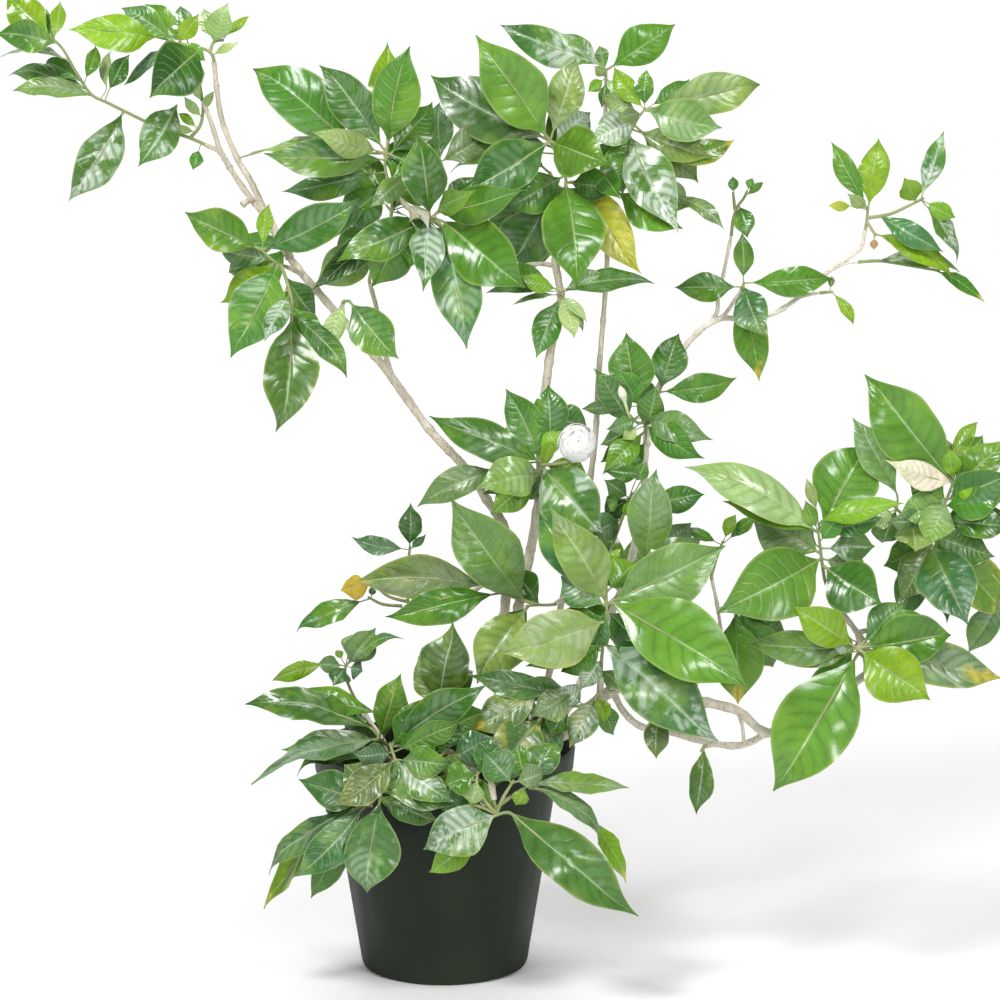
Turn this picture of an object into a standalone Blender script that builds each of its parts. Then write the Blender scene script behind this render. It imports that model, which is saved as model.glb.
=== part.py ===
# A potted crape jasmine: a shrub of forking woody stems and leafy green shoots in a nursery pot.
# Metres, +Z up. The origin is the middle of the pot's base and the base lies on Z = 0.
# Stems and leaves are placed as a viewer in front of the plant sees them: each place is a pixel of a
# 1000 x 1000 picture plus a depth, in metres behind the pot's axis.
from math import acos, cos, pi, radians, sin

import bmesh
import bpy
from mathutils import Quaternion, Vector
from mathutils.geometry import normal

# Driving dimensions
POT_HEIGHT = 0.200
LIP_RADIUS = 0.1175  # the widest round of the pot
NECK_RADIUS = 0.1020  # the wall just under the lip
BASE_RADIUS = 0.0750
LIP_DEPTH = 0.0250
POT_WALL = 0.0026
SOIL_TOP = 0.1660
SOIL_MOUND = 0.0050
HOLE_DEPTH = 0.0400  # how deep each stem stands in the soil
BLADE = 0.0007  # thickness of a leaf
TWIG_RADIUS = 0.0017
TWIG_END = 0.0012
ARCH = 0.09  # how far a leaf's middle rises, as a share of its length
SHORTEST_STALK = 0.004
GAP = 0.0003  # between pieces that touch
STEADY = 0.2  # a face may not swing further than this cosine when a seam is thinned
SHORTEST_EDGE = 0.00066  # points nearer than this along a seam are drawn together
POT_SIDES = 32

# The viewer, and the picture that the pixels belong to
EYE = Vector((0.050, -2.200, 0.695))
PITCH = radians(7.1)
FOCAL = 2500.0
MIDDLE = 500.0
AHEAD = Vector((0.0, cos(PITCH), -sin(PITCH)))
UPWARD = Vector((0.0, sin(PITCH), cos(PITCH)))

# A blade's outline: how far along the midrib, and the share of the half width there
BROAD_OUTLINE = ((0.24, 0.76), (0.50, 1.00), (0.78, 0.68))
SLIM_OUTLINE = ((0.32, 0.92), (0.70, 0.84))
FOLDED_LEAF = 44  # pixels of width from which a leaf is folded on its midrib
BROAD_LEAF = 25  # pixels of width from which a leaf has the broad outline
LONG_STALK = 0.011  # a leaf whose foot is nearer than this to its twig has no row for its stalk
SLIM_BLADE = 0.36  # a blade seen narrower than this share of its length is turned on its midrib
STALK_WIDTH = 0.0020
FOLD = radians(14)
WAVE = 0.05

COLOURS = {
    "pot_plastic": ((0.026, 0.036, 0.024), 0.50),
    "potting_soil": ((0.030, 0.021, 0.014), 0.95),
    "bark": ((0.420, 0.340, 0.230), 0.80),
    "leaf": ((0.080, 0.230, 0.035), 0.35),
    "petal": ((0.900, 0.880, 0.820), 0.50),
    "bud": ((0.820, 0.800, 0.520), 0.50),
}

# Woody stems. foot is where one stands in the soil, from the pot's axis. Each branch is a list of
# (x, y, depth) with its radius at the two ends, and the first branch leaves the soil.
STEMS = {
    "stem_left": dict(
        foot=(0.034, 0.040),
        branches=[
            ([(494, 742, 0.038), (499, 690, 0.034), (501, 655, 0.030), (506, 590, 0.022),
              (505, 530, 0.012), (487, 500, 0.006), (467, 470, 0.002), (430, 430, 0.000),
              (380, 362, 0.000), (325, 300, 0.004), (290, 258, 0.008), (266, 213, 0.012)],
             0.0052, 0.0034),
            ([(290, 258, 0.008), (266, 213, 0.012), (250, 180, 0.014), (238, 160, 0.014),
              (222, 120, 0.010), (217, 90, 0.004), (214, 62, 0.000)], 0.0032, 0.0021),
            ([(290, 258, 0.008), (262, 213, 0.016), (246, 192, 0.026), (230, 168, 0.034),
              (220, 150, 0.040), (212, 125, 0.046), (203, 101, 0.050)], 0.0030, 0.0020),
            ([(230, 168, 0.034), (220, 152, 0.040), (206, 145, 0.046)], 0.0026, 0.0020),
            ([(392, 378, 0.000), (383, 345, 0.014), (377, 310, 0.022), (370, 284, 0.028)],
             0.0026, 0.0019),
            ([(303, 274, 0.006), (294, 270, -0.006), (287, 267, -0.014)], 0.0026, 0.0020),
            ([(340, 317, 0.002), (341, 309, -0.010), (343, 303, -0.017)], 0.0024, 0.0018),
            ([(505, 560, 0.016), (478, 588, 0.030), (440, 602, 0.038), (420, 606, 0.040)],
             0.0024, 0.0018),
            ([(290, 258, 0.008), (290, 252, 0.022), (290, 248, 0.032)], 0.0026, 0.0020),
        ]),
    "stem_middle": dict(
        foot=(0.026, 0.014),
        branches=[
            ([(482, 744, 0.016), (503, 680, 0.010), (520, 600, 0.004), (536, 520, 0.004),
              (541, 470, 0.004), (539, 418, 0.006), (545, 392, 0.008), (550, 355, 0.010),
              (556, 326, 0.012), (561, 298, 0.014), (556, 268, 0.018), (556, 236, 0.022),
              (561, 205, 0.026)], 0.0052, 0.0030),
            ([(561, 298, 0.014), (556, 268, 0.018), (533, 264, 0.018), (522, 266, 0.018)],
             0.0024, 0.0016),
            ([(559, 308, 0.013), (560, 300, 0.002), (560, 296, -0.006)], 0.0024, 0.0020),
            ([(541, 484, 0.004), (541, 478, -0.008), (542, 474, -0.016)], 0.0028, 0.0022),
            ([(541, 484, 0.004), (541, 478, 0.016), (542, 474, 0.026)], 0.0026, 0.0020),
        ]),
    "stem_thin": dict(
        foot=(0.052, 0.034),
        branches=[
            ([(523, 742, 0.040), (545, 690, 0.044), (562, 600, 0.044), (588, 490, 0.040),
              (595, 440, 0.040), (599, 370, 0.044), (604, 310, 0.048), (607, 262, 0.052),
              (607, 200, 0.056), (606, 130, 0.058), (605, 96, 0.058)], 0.0036, 0.0018),
            ([(607, 200, 0.056), (610, 160, 0.050), (620, 142, 0.044)], 0.0022, 0.0018),
            ([(562, 600, 0.044), (558, 602, 0.026), (555, 604, 0.012)], 0.0026, 0.0020),
        ]),
    "stem_upper_right": dict(
        foot=(0.070, 0.006),
        branches=[
            ([(545, 746, 0.010), (572, 700, 0.030), (600, 640, 0.046), (628, 570, 0.052),
              (643, 500, 0.052), (645, 462, 0.050), (648, 424, 0.050), (660, 385, 0.056),
              (680, 353, 0.062), (703, 328, 0.066), (722, 318, 0.068), (740, 319, 0.068),
              (774, 313, 0.066), (799, 297, 0.066), (829, 271, 0.066), (846, 259, 0.066),
              (861, 247, 0.064), (865, 230, 0.062)], 0.0042, 0.0018),
            ([(703, 328, 0.066), (722, 317, 0.064), (736, 298, 0.056), (741, 290, 0.052)],
             0.0019, 0.0016),
            ([(703, 328, 0.066), (717, 312, 0.070), (718, 298, 0.076), (725, 267, 0.078),
              (731, 236, 0.076)], 0.0020, 0.0015),
            ([(829, 271, 0.066), (846, 263, 0.067), (858, 262, 0.068)], 0.0016, 0.0014),
            ([(799, 297, 0.066), (812, 294, 0.062), (820, 293, 0.060)], 0.0016, 0.0014),
            ([(648, 444, 0.050), (646, 436, 0.034), (646, 432, 0.026)], 0.0026, 0.0020),
            ([(613, 608, 0.049), (616, 604, 0.060), (618, 601, 0.068)], 0.0026, 0.0020),
        ]),
    "stem_right": dict(
        foot=(0.052, -0.034),
        branches=[
            ([(528, 752, -0.034), (548, 740, -0.040), (566, 733, -0.048), (590, 717, -0.056),
              (612, 690, -0.062), (645, 688, -0.066), (680, 697, -0.068), (714, 704, -0.070),
              (738, 711, -0.072), (768, 733, -0.074), (815, 715, -0.070), (856, 682, -0.066),
              (871, 668, -0.062), (866, 648, -0.058), (858, 634, -0.056)], 0.0062, 0.0030),
            ([(612, 690, -0.062), (624, 712, -0.060), (640, 726, -0.058), (673, 733, -0.058),
              (716, 744, -0.062), (742, 745, -0.068), (768, 733, -0.074)], 0.0030, 0.0030),
            ([(716, 744, -0.062), (711, 745, -0.074), (706, 746, -0.082)], 0.0024, 0.0020),
            ([(866, 648, -0.058), (858, 634, -0.056), (838, 606, -0.056), (826, 582, -0.058)],
             0.0028, 0.0022),
            ([(866, 648, -0.058), (858, 634, -0.056), (885, 626, -0.050), (906, 592, -0.046),
              (924, 558, -0.046)], 0.0028, 0.0022),
            ([(695, 700, -0.068), (698, 680, -0.056), (726, 674, -0.044), (722, 640, -0.036),
              (717, 604, -0.034), (712, 580, -0.034)], 0.0022, 0.0015),
            ([(600, 706, -0.058), (600, 690, -0.064), (601, 676, -0.068)], 0.0034, 0.0026),
            ([(868, 658, -0.060), (863, 655, -0.070), (860, 653, -0.078)], 0.0028, 0.0022),
            ([(718, 610, -0.034), (724, 608, -0.026), (729, 608, -0.019)], 0.0018, 0.0015),
            ([(866, 648, -0.058), (864, 646, -0.046), (862, 645, -0.036)], 0.0028, 0.0022),
            ([(648, 728, -0.058), (652, 722, -0.068), (655, 718, -0.076)], 0.0022, 0.0018),
        ]),
    "stem_low_left": dict(
        foot=(-0.044, -0.018),
        branches=[
            ([(396, 768, -0.020), (392, 756, -0.026)], 0.0034, 0.0026),
            ([(396, 768, -0.020), (378, 752, -0.064), (366, 762, -0.104), (363, 786, -0.116),
              (366, 798, -0.118)], 0.0026, 0.0020),
            ([(396, 768, -0.020), (384, 742, 0.000), (368, 718, 0.014), (356, 700, 0.016)],
             0.0024, 0.0016),
        ]),
    "stem_low_front": dict(
        foot=(0.012, -0.046),
        branches=[
            ([(466, 766, -0.052), (474, 756, -0.070), (483, 756, -0.098), (489, 772, -0.124),
              (494, 800, -0.130)], 0.0038, 0.0028),
            ([(466, 766, -0.052), (474, 756, -0.070), (500, 750, -0.086)], 0.0028, 0.0022),
            ([(466, 766, -0.052), (450, 752, -0.062), (440, 750, -0.066)], 0.0028, 0.0022),
        ]),
}

# Leafy shoots. twigs are green routes, the first one starting where the stem's branch ends, and
# leaves are (blade's foot, tip, width in pixels, how far the tip lies behind its foot, and where
# it is needed arch or turn).
SPRAYS = {
    "spray_top_left": dict(
        on=("stem_left", 3),
        twigs=[
            [(190, 138, 0.050), (160, 128, 0.052), (128, 113, 0.050), (108, 103, 0.046),
             (92, 95, 0.042), (76, 72, 0.036), (62, 48, 0.030), (52, 38, 0.026)],
        ],
        leaves=[
            ((90, 97), (10, 89), 18, -0.010), ((88, 86), (6, 70), 20, 0.020),
            ((58, 45), (-5, 32), 30, -0.015), ((50, 34), (5, -6), 35, 0.010),
            ((110, 88), (128, 54), 16, 0.005), ((172, 116), (137, 165), 30, -0.030),
            ((124, 116), (67, 200), 38, -0.025),
        ]),
    "spray_crown_left": dict(
        on=("stem_left", 1),
        twigs=[
            [(210, 52, -0.002), (192, 46, -0.006), (174, 43, -0.008)],
            [(210, 52, -0.002), (214, 42, 0.000), (224, 40, 0.002)],
        ],
        leaves=[
            ((155, 37), (68, 28), 38, -0.030), ((198, 52), (150, 94), 48, -0.035),
            ((170, 40), (122, 5), 28, 0.010), ((176, 40), (200, 14), 18, -0.010),
            ((212, 44), (226, 2), 26, -0.015),
        ]),
    "spray_left_middle": dict(
        on=("stem_left", 5),
        twigs=[
            [(281, 265, -0.022), (270, 258, -0.028), (260, 248, -0.030)],
            [(281, 265, -0.022), (288, 285, -0.032), (292, 304, -0.036), (292, 316, -0.037)],
        ],
        leaves=[
            ((256, 244), (184, 213), 38, -0.015), ((258, 245), (268, 203), 17, 0.020),
            ((270, 262), (216, 248), 28, 0.010), ((262, 245), (361, 200), 42, -0.020),
            ((275, 268), (228, 358), 54, -0.030), ((272, 266), (224, 304), 34, 0.020),
            ((290, 296), (262, 342), 22, -0.050), ((292, 322), (281, 433), 55, -0.035),
            ((286, 272), (302, 330), 15, 0.030), ((294, 312), (350, 376), 22, -0.020),
        ]),
    "rear_left": dict(
        on=("stem_left", 8),
        twigs=[[(290, 244, 0.046), (290, 238, 0.060)]],
        leaves=[
            ((284, 242), (244, 304), 34, 0.020), ((296, 237), (346, 208), 32, 0.015),
            ((283, 238), (230, 250), 24, 0.025),
        ]),
    "spray_left_inner": dict(
        on=("stem_left", 6),
        twigs=[[(346, 301, -0.024), (350, 301, -0.028)]],
        leaves=[((346, 303), (328, 352), 22, -0.010), ((354, 303), (397, 360), 44, -0.020)],
    ),
    "spray_top_mid_left": dict(
        on=("stem_left", 4),
        twigs=[
            [(374, 262, 0.020), (386, 240, 0.004), (406, 224, -0.012), (436, 217, -0.026)],
            [(386, 240, 0.004), (392, 204, 0.000), (385, 164, -0.004), (388, 142, -0.006)],
            [(374, 262, 0.020), (380, 240, 0.044), (384, 220, 0.064)],
        ],
        leaves=[
            ((352, 146), (250, 63), 56, 0.030), ((376, 152), (320, 62), 44, 0.000),
            ((388, 134), (386, 44), 40, 0.020), ((392, 142), (408, 46), 50, -0.020),
            ((380, 162), (263, 158), 40, -0.030), ((374, 150), (312, 130), 28, -0.045),
            ((372, 174), (283, 192), 30, 0.010), ((404, 178), (370, 208), 24, -0.030),
            ((434, 212), (420, 134), 44, -0.015), ((440, 158), (438, 103), 26, 0.040),
            ((444, 160), (488, 133), 36, 0.030), ((440, 212), (520, 191), 28, -0.010),
            ((438, 210), (476, 194), 20, -0.040), ((444, 222), (521, 290), 55, -0.035),
            ((432, 222), (425, 290), 32, -0.050), ((443, 228), (467, 350), 50, -0.030),
            ((428, 222), (335, 258), 40, -0.040), ((398, 236), (314, 292), 26, -0.020),
            ((372, 200), (315, 248), 24, 0.030), ((382, 212), (346, 150), 38, 0.030),
            ((388, 212), (428, 150), 38, 0.030), ((378, 222), (334, 252), 28, 0.020),
            ((390, 220), (446, 244), 32, 0.020),
        ]),
    "spray_top_mid": dict(
        on=("stem_middle", 0),
        twigs=[
            [(564, 192, 0.028), (566, 180, 0.026), (558, 158, 0.020), (548, 137, 0.014)],
            [(564, 190, 0.028), (556, 184, 0.050), (550, 172, 0.068)],
        ],
        leaves=[
            ((545, 133), (430, 80), 54, 0.020), ((545, 132), (474, 36), 60, -0.025),
            ((545, 140), (465, 192), 50, -0.020), ((548, 202), (518, 262), 44, 0.046),
            ((560, 178), (522, 212), 30, -0.010), ((569, 184), (577, 287), 62, -0.050),
            ((553, 137), (608, 164), 46, -0.045), ((574, 178), (616, 190), 20, -0.030),
            ((580, 184), (638, 284), 42, -0.020), ((553, 130), (577, 56), 38, 0.000),
            ((545, 166), (490, 120), 40, 0.030), ((552, 164), (562, 104), 34, 0.040),
            ((544, 176), (492, 188), 34, 0.020), ((554, 178), (568, 258), 38, 0.030),
        ]),
    "spray_middle_low": dict(
        on=("stem_middle", 2),
        twigs=[[(560, 293, -0.012), (560, 290, -0.016)]],
        leaves=[
            ((566, 292), (656, 281), 20, -0.010), ((553, 288), (520, 275), 18, -0.015),
            ((558, 302), (536, 358), 30, -0.020), ((566, 297), (576, 338), 22, -0.020),
        ]),
    "spray_top_tip": dict(
        on=("stem_thin", 0),
        twigs=[[(606, 80, 0.058), (606, 68, 0.058)]],
        leaves=[
            ((610, 62), (677, 24), 40, 0.000), ((596, 62), (498, 23), 36, 0.015),
            ((600, 76), (588, 92), 12, -0.010),
        ]),
    "spray_top_right": dict(
        on=("stem_thin", 1),
        twigs=[
            [(630, 132, 0.034), (638, 118, 0.026), (646, 108, 0.020)],
            [(620, 146, 0.036), (640, 172, 0.022), (652, 190, 0.018)],
        ],
        leaves=[
            ((642, 106), (612, 67), 20, 0.010), ((646, 104), (646, 68), 20, 0.000),
            ((656, 107), (766, 82), 38, 0.020), ((652, 110), (718, 118), 30, -0.020),
            ((634, 114), (590, 140), 28, -0.010), ((628, 134), (622, 190), 36, -0.020),
            ((634, 136), (679, 234), 44, -0.045), ((674, 156), (734, 143), 26, 0.010),
            ((640, 136), (716, 156), 26, -0.015), ((632, 192), (680, 230), 36, 0.010),
        ]),
    "spray_sprig": dict(
        on=("stem_upper_right", 1),
        twigs=[[(744, 282, 0.048)]],
        leaves=[
            ((735, 284), (674, 287), 30, 0.010), ((752, 280), (834, 277), 31, 0.010),
            ((744, 285), (764, 338), 36, -0.030), ((740, 290), (762, 381), 35, 0.000),
            ((744, 275), (741, 232), 21, -0.010),
        ]),
    "spray_sprig_top": dict(
        on=("stem_upper_right", 2),
        twigs=[[(733, 220, 0.074), (738, 206, 0.072), (744, 198, 0.070), (747, 191, 0.070)],
               [(735, 210, 0.073), (733, 192, 0.072)]],
        leaves=[
            ((739, 206), (748, 238), 22, -0.015), ((733, 192), (733, 176), 11, 0.000),
            ((747, 189), (753, 178), 10, 0.000),
        ]),
    "spray_far_right": dict(
        on=("stem_upper_right", 0),
        twigs=[
            [(867, 218, 0.060), (868, 208, 0.058)],
            [(867, 218, 0.060), (890, 214, 0.052), (908, 206, 0.046), (924, 198, 0.042)],
            [(867, 222, 0.060), (876, 236, 0.054)],
        ],
        leaves=[
            ((864, 200), (832, 140), 22, 0.000), ((872, 204), (881, 137), 31, 0.000),
            ((920, 192), (943, 131), 22, 0.010), ((916, 204), (904, 177), 24, -0.020),
            ((930, 197), (956, 218), 20, -0.010), ((878, 216), (944, 252), 24, -0.025),
            ((930, 203), (961, 262), 17, -0.005), ((880, 237), (958, 276), 26, -0.010),
        ]),
    "spray_far_right_low": dict(
        on=("stem_upper_right", 3),
        twigs=[[(880, 261, 0.068), (912, 266, 0.068), (940, 271, 0.068)]],
        leaves=[((880, 261), (962, 268), 14, -0.006), ((940, 271), (984, 303), 13, -0.005)],
    ),
    "spray_twig_end": dict(
        on=("stem_upper_right", 4),
        twigs=[[(829, 292, 0.058), (833, 292, 0.057)]],
        leaves=[((836, 294), (855, 325), 11, -0.005)],
    ),
    "spray_middle": dict(
        on=("stem_middle", 3),
        twigs=[
            [(542, 470, -0.024), (542, 465, -0.028), (541, 461, -0.030)],
            [(542, 465, -0.028), (556, 464, -0.040), (568, 462, -0.048)],
        ],
        leaves=[
            ((536, 459), (428, 418), 40, -0.010), ((540, 456), (506, 388), 38, 0.015),
            ((550, 440), (547, 384), 36, 0.008), ((556, 450), (586, 424), 18, 0.034),
            ((546, 460), (561, 430), 15, 0.000), ((536, 472), (477, 488), 40, -0.045),
            ((546, 468), (592, 538), 56, -0.045, 0.22), ((500, 470), (416, 504), 26, 0.000),
            ((538, 478), (482, 492), 18, -0.015), ((544, 484), (492, 512), 26, -0.015),
        ]),
    "rear_middle": dict(
        on=("stem_middle", 4),
        twigs=[[(542, 470, 0.036), (542, 462, 0.050)]],
        leaves=[
            ((536, 460), (496, 430), 34, 0.030), ((547, 466), (590, 520), 34, 0.020),
            ((536, 468), (484, 486), 26, 0.020), ((544, 458), (556, 420), 26, 0.030),
        ]),
    "spray_middle_right": dict(
        on=("stem_upper_right", 5),
        twigs=[
            [(646, 429, 0.020), (644, 422, 0.014), (640, 412, 0.010), (638, 404, 0.008)],
            [(644, 422, 0.014), (656, 402, 0.018), (660, 390, 0.022)],
            [(644, 422, 0.014), (638, 423, -0.002), (632, 418, -0.014)],
        ],
        leaves=[
            ((639, 400), (626, 332), 46, 0.000), ((628, 420), (594, 368), 32, -0.020),
            ((645, 428), (656, 386), 28, -0.020), ((660, 387), (678, 332), 36, 0.010),
            ((664, 388), (736, 380), 28, 0.000), ((652, 422), (706, 452), 30, -0.025, 0.30),
            ((652, 430), (690, 456), 24, -0.040), ((642, 436), (600, 472), 24, -0.030),
        ]),
    "spray_centre": dict(
        on=("stem_right", 6),
        twigs=[
            [(602, 655, -0.078), (605, 630, -0.088), (607, 612, -0.094), (606, 602, -0.096)],
            [(606, 606, -0.094), (606, 580, -0.070), (609, 556, -0.052), (620, 525, -0.040),
             (632, 492, -0.036)],
            [(606, 606, -0.094), (630, 585, -0.066), (648, 563, -0.052)],
        ],
        leaves=[
            ((604, 600), (547, 511), 52, -0.030), ((600, 598), (536, 516), 34, 0.030),
            ((614, 606), (722, 547), 50, 0.010), ((616, 606), (750, 682), 76, -0.035),
            ((606, 642), (713, 745), 60, -0.030), ((606, 636), (664, 650), 34, 0.010),
            ((598, 626), (503, 668), 56, -0.030), ((648, 560), (652, 468), 42, -0.010),
            ((652, 505), (704, 493), 24, 0.020), ((632, 492), (606, 482), 16, -0.020),
            ((618, 520), (593, 533), 24, -0.010),
        ]),
    "rear_centre": dict(
        on=("stem_upper_right", 6),
        twigs=[[(620, 598, 0.076), (623, 594, 0.086)]],
        leaves=[
            ((629, 592), (690, 566), 34, 0.020), ((628, 600), (700, 652), 44, 0.020),
            ((617, 602), (570, 640), 34, 0.030), ((617, 588), (572, 542), 34, 0.020),
        ]),
    "spray_centre_left": dict(
        on=("stem_thin", 2),
        twigs=[
            [(548, 605, 0.000), (538, 605, -0.020), (526, 606, -0.036)],
            [(538, 605, -0.020), (510, 596, -0.016), (492, 590, -0.014)],
        ],
        leaves=[
            ((522, 603), (448, 500), 62, -0.020), ((482, 584), (361, 569), 44, 0.000),
            ((496, 602), (385, 621), 36, -0.010), ((521, 609), (474, 682), 54, -0.030),
        ]),
    "spray_pot_top": dict(
        on=("stem_low_front", 1),
        twigs=[[(516, 742, -0.092), (540, 718, -0.090), (556, 700, -0.088), (580, 690, -0.090)]],
        leaves=[
            ((536, 716), (508, 769), 58, -0.030), ((576, 686), (534, 714), 30, -0.015),
            ((590, 692), (574, 736), 28, -0.015), ((556, 694), (478, 676), 18, 0.010),
            ((594, 690), (606, 720), 15, -0.006), ((598, 690), (612, 730), 15, 0.010),
            ((560, 722), (536, 757), 24, 0.010), ((545, 716), (496, 702), 36, 0.010),
        ]),
    "spray_under": dict(
        on=("stem_right", 10),
        twigs=[[(657, 714, -0.082), (659, 710, -0.087)]],
        leaves=[((661, 706), (656, 759), 25, -0.012)],
    ),
    "spray_hanging": dict(
        on=("stem_right", 2),
        twigs=[[(703, 748, -0.088), (701, 752, -0.090)]],
        leaves=[((701, 748), (693, 812), 20, -0.006)],
    ),
    "spray_twig_tip": dict(
        on=("stem_right", 5),
        twigs=[[(716, 560, -0.034), (723, 541, -0.034)]],
        leaves=[
            ((720, 537), (684, 528), 12, 0.000), ((724, 536), (736, 514), 14, 0.000),
            ((728, 536), (756, 516), 14, 0.010),
        ]),
    "spray_behind_right": dict(
        on=("stem_right", 8),
        twigs=[[(733, 609, -0.012), (736, 614, -0.008)]],
        leaves=[((736, 612), (738, 706), 48, -0.006), ((738, 610), (790, 640), 30, 0.020)],
    ),
    "spray_right_left": dict(
        on=("stem_right", 3),
        twigs=[[(822, 562, -0.062), (820, 545, -0.066), (818, 530, -0.070)]],
        leaves=[
            ((814, 528), (686, 463), 42, -0.015), ((820, 522), (866, 447), 58, 0.030),
            ((822, 520), (902, 500), 18, -0.030), ((824, 558), (720, 612), 64, -0.045),
            ((816, 552), (752, 524), 36, 0.010), ((828, 545), (872, 548), 30, 0.010),
            ((828, 566), (880, 602), 46, -0.030),
        ]),
    "spray_right_low": dict(
        on=("stem_right", 7),
        twigs=[[(858, 650, -0.088), (857, 648, -0.092)]],
        leaves=[
            ((856, 638), (793, 606), 36, -0.015), ((850, 648), (747, 643), 32, 0.010),
            ((850, 656), (785, 667), 18, 0.000), ((853, 660), (774, 794), 84, -0.030),
            ((864, 644), (932, 698), 50, -0.040), ((866, 640), (950, 634), 48, 0.006),
            ((864, 654), (904, 700), 26, -0.004), ((872, 650), (1002, 682), 40, 0.012),
        ]),
    "rear_right": dict(
        on=("stem_right", 9),
        twigs=[[(860, 644, -0.026), (857, 642, -0.014)]],
        leaves=[
            ((851, 650), (800, 730), 44, 0.020), ((864, 640), (930, 640), 34, 0.020),
            ((850, 638), (800, 616), 28, 0.020), ((862, 650), (910, 688), 30, 0.025),
        ]),
    "spray_right_top": dict(
        on=("stem_right", 4),
        twigs=[
            [(932, 540, -0.050), (940, 516, -0.054), (948, 496, -0.058), (954, 480, -0.060)],
            [(932, 540, -0.050), (908, 520, -0.058), (894, 506, -0.062)],
        ],
        leaves=[
            ((944, 476), (866, 372), 64, -0.012), ((896, 492), (853, 417), 30, 0.010),
            ((954, 480), (886, 461), 25, -0.025), ((954, 474), (948, 448), 16, -0.015),
            ((952, 462), (977, 419), 15, 0.015), ((958, 468), (984, 436), 24, 0.010),
            ((950, 492), (1008, 440), 32, -0.005), ((948, 502), (1012, 474), 42, -0.030),
            ((944, 518), (1012, 528), 30, -0.010), ((934, 540), (968, 624), 52, -0.030),
            ((940, 536), (1008, 618), 46, 0.020), ((914, 516), (916, 552), 40, -0.040),
            ((930, 546), (950, 620), 24, -0.014), ((894, 502), (874, 520), 22, -0.010),
            ((1000, 600), (968, 652), 24, 0.030),
        ]),
    "spray_left_low": dict(
        on=("stem_left", 7),
        twigs=[
            [(410, 606, 0.040), (407, 592, 0.038), (408, 566, 0.032), (410, 546, 0.028)],
            [(409, 602, 0.040), (388, 596, 0.034), (372, 582, 0.028)],
            [(402, 606, 0.040), (382, 604, 0.034), (368, 597, 0.030)],
        ],
        leaves=[
            ((402, 547), (352, 540), 20, 0.010), ((410, 543), (410, 503), 24, 0.000),
            ((370, 578), (340, 590), 26, -0.010, 0.25), ((362, 592), (293, 627), 25, 0.000),
        ]),
    "spray_left_star": dict(
        on=("stem_low_left", 2),
        twigs=[[(349, 686, 0.010), (345, 674, 0.006), (346, 664, 0.004)]],
        leaves=[
            ((348, 660), (376, 629), 27, -0.010), ((352, 660), (401, 632), 15, -0.020),
            ((342, 662), (318, 665), 13, 0.000), ((324, 664), (271, 682), 14, -0.010),
            ((344, 668), (333, 685), 20, -0.015),
        ]),
    "spray_skirt_left": dict(
        on=("stem_low_left", 0),
        twigs=[
            [(389, 748, -0.034), (384, 742, -0.044), (378, 738, -0.052)],
            [(389, 748, -0.034), (390, 744, -0.070), (392, 750, -0.108), (396, 762, -0.124)],
        ],
        leaves=[
            ((370, 727), (254, 703), 34, -0.010), ((378, 732), (398, 677), 34, -0.005),
            ((392, 738), (440, 697), 30, -0.010), ((400, 740), (478, 692), 36, -0.030),
            ((372, 738), (290, 749), 26, -0.020), ((376, 746), (261, 778), 28, -0.080),
            ((394, 764), (350, 792), 30, -0.020), ((402, 762), (442, 790), 26, -0.018),
            ((398, 744), (458, 738), 18, -0.020), ((402, 756), (434, 757), 18, -0.016),
            ((368, 722), (306, 692), 20, 0.015),
        ]),
    "spray_skirt_corner": dict(
        on=("stem_low_left", 1),
        twigs=[[(366, 804, -0.122), (372, 806, -0.128)]],
        leaves=[
            ((358, 804), (322, 770), 36, 0.000), ((358, 808), (271, 868), 28, 0.000),
            ((362, 814), (300, 872), 34, -0.025), ((384, 806), (368, 882), 58, -0.012),
            ((350, 812), (272, 898), 24, 0.030),
        ]),
    "spray_skirt_mid": dict(
        on=("stem_low_front", 2),
        twigs=[
            [(436, 750, -0.068), (432, 734, -0.050), (438, 706, -0.034)],
            [(436, 750, -0.068), (446, 752, -0.100), (456, 768, -0.126)],
        ],
        leaves=[
            ((440, 700), (455, 628), 54, 0.000), ((482, 764), (436, 764), 14, 0.010),
            ((460, 772), (440, 798), 34, -0.016), ((456, 756), (482, 750), 22, -0.010),
            ((456, 790), (396, 803), 16, -0.010),
        ]),
    "spray_skirt_front": dict(
        on=("stem_low_front", 0),
        twigs=[
            [(496, 808, -0.131), (498, 816, -0.134)],
            [(496, 808, -0.131), (512, 796, -0.134), (530, 784, -0.134)],
        ],
        leaves=[
            ((494, 824), (421, 850), 40, -0.012), ((480, 838), (429, 876), 26, 0.004),
            ((524, 778), (522, 760), 22, 0.010), ((536, 784), (624, 790), 17, -0.010),
            ((512, 814), (637, 919), 50, -0.020), ((538, 788), (603, 838), 16, -0.004, 0.25),
            ((534, 778), (552, 742), 26, 0.015),
        ]),
}

# The double flower and the closed bud. Each stands on a green calyx at the end of its own twig,
# given as the shoot and the number of the twig. A round of petals is their number, their length
# as a share of the flower's radius, and how far they rise from the flower's flat.
FLOWER = dict(on=("spray_middle", 1), centre=(577, 443, -0.062), radius=0.0190)
ROUNDS = ((7, 1.00, radians(4)), (5, 0.78, radians(32)), (3, 0.50, radians(58)))
PETAL_SWAY = 0.12  # how much the petals of a round differ in their rise
PETAL_OUTLINE = ((0.03, 0.20), (0.50, 0.90), (0.86, 0.84))
BUD = dict(on=("spray_middle_right", 2), tip=(620, 386, -0.026))
BUD_SHAPE = ((0.00, 0.0012), (0.45, 0.0015), (0.70, 0.0036), (0.86, 0.0030), (1.00, 0.0006))
CALYX = 0.0040  # its length
CALYX_RADIUS = 0.0022


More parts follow.
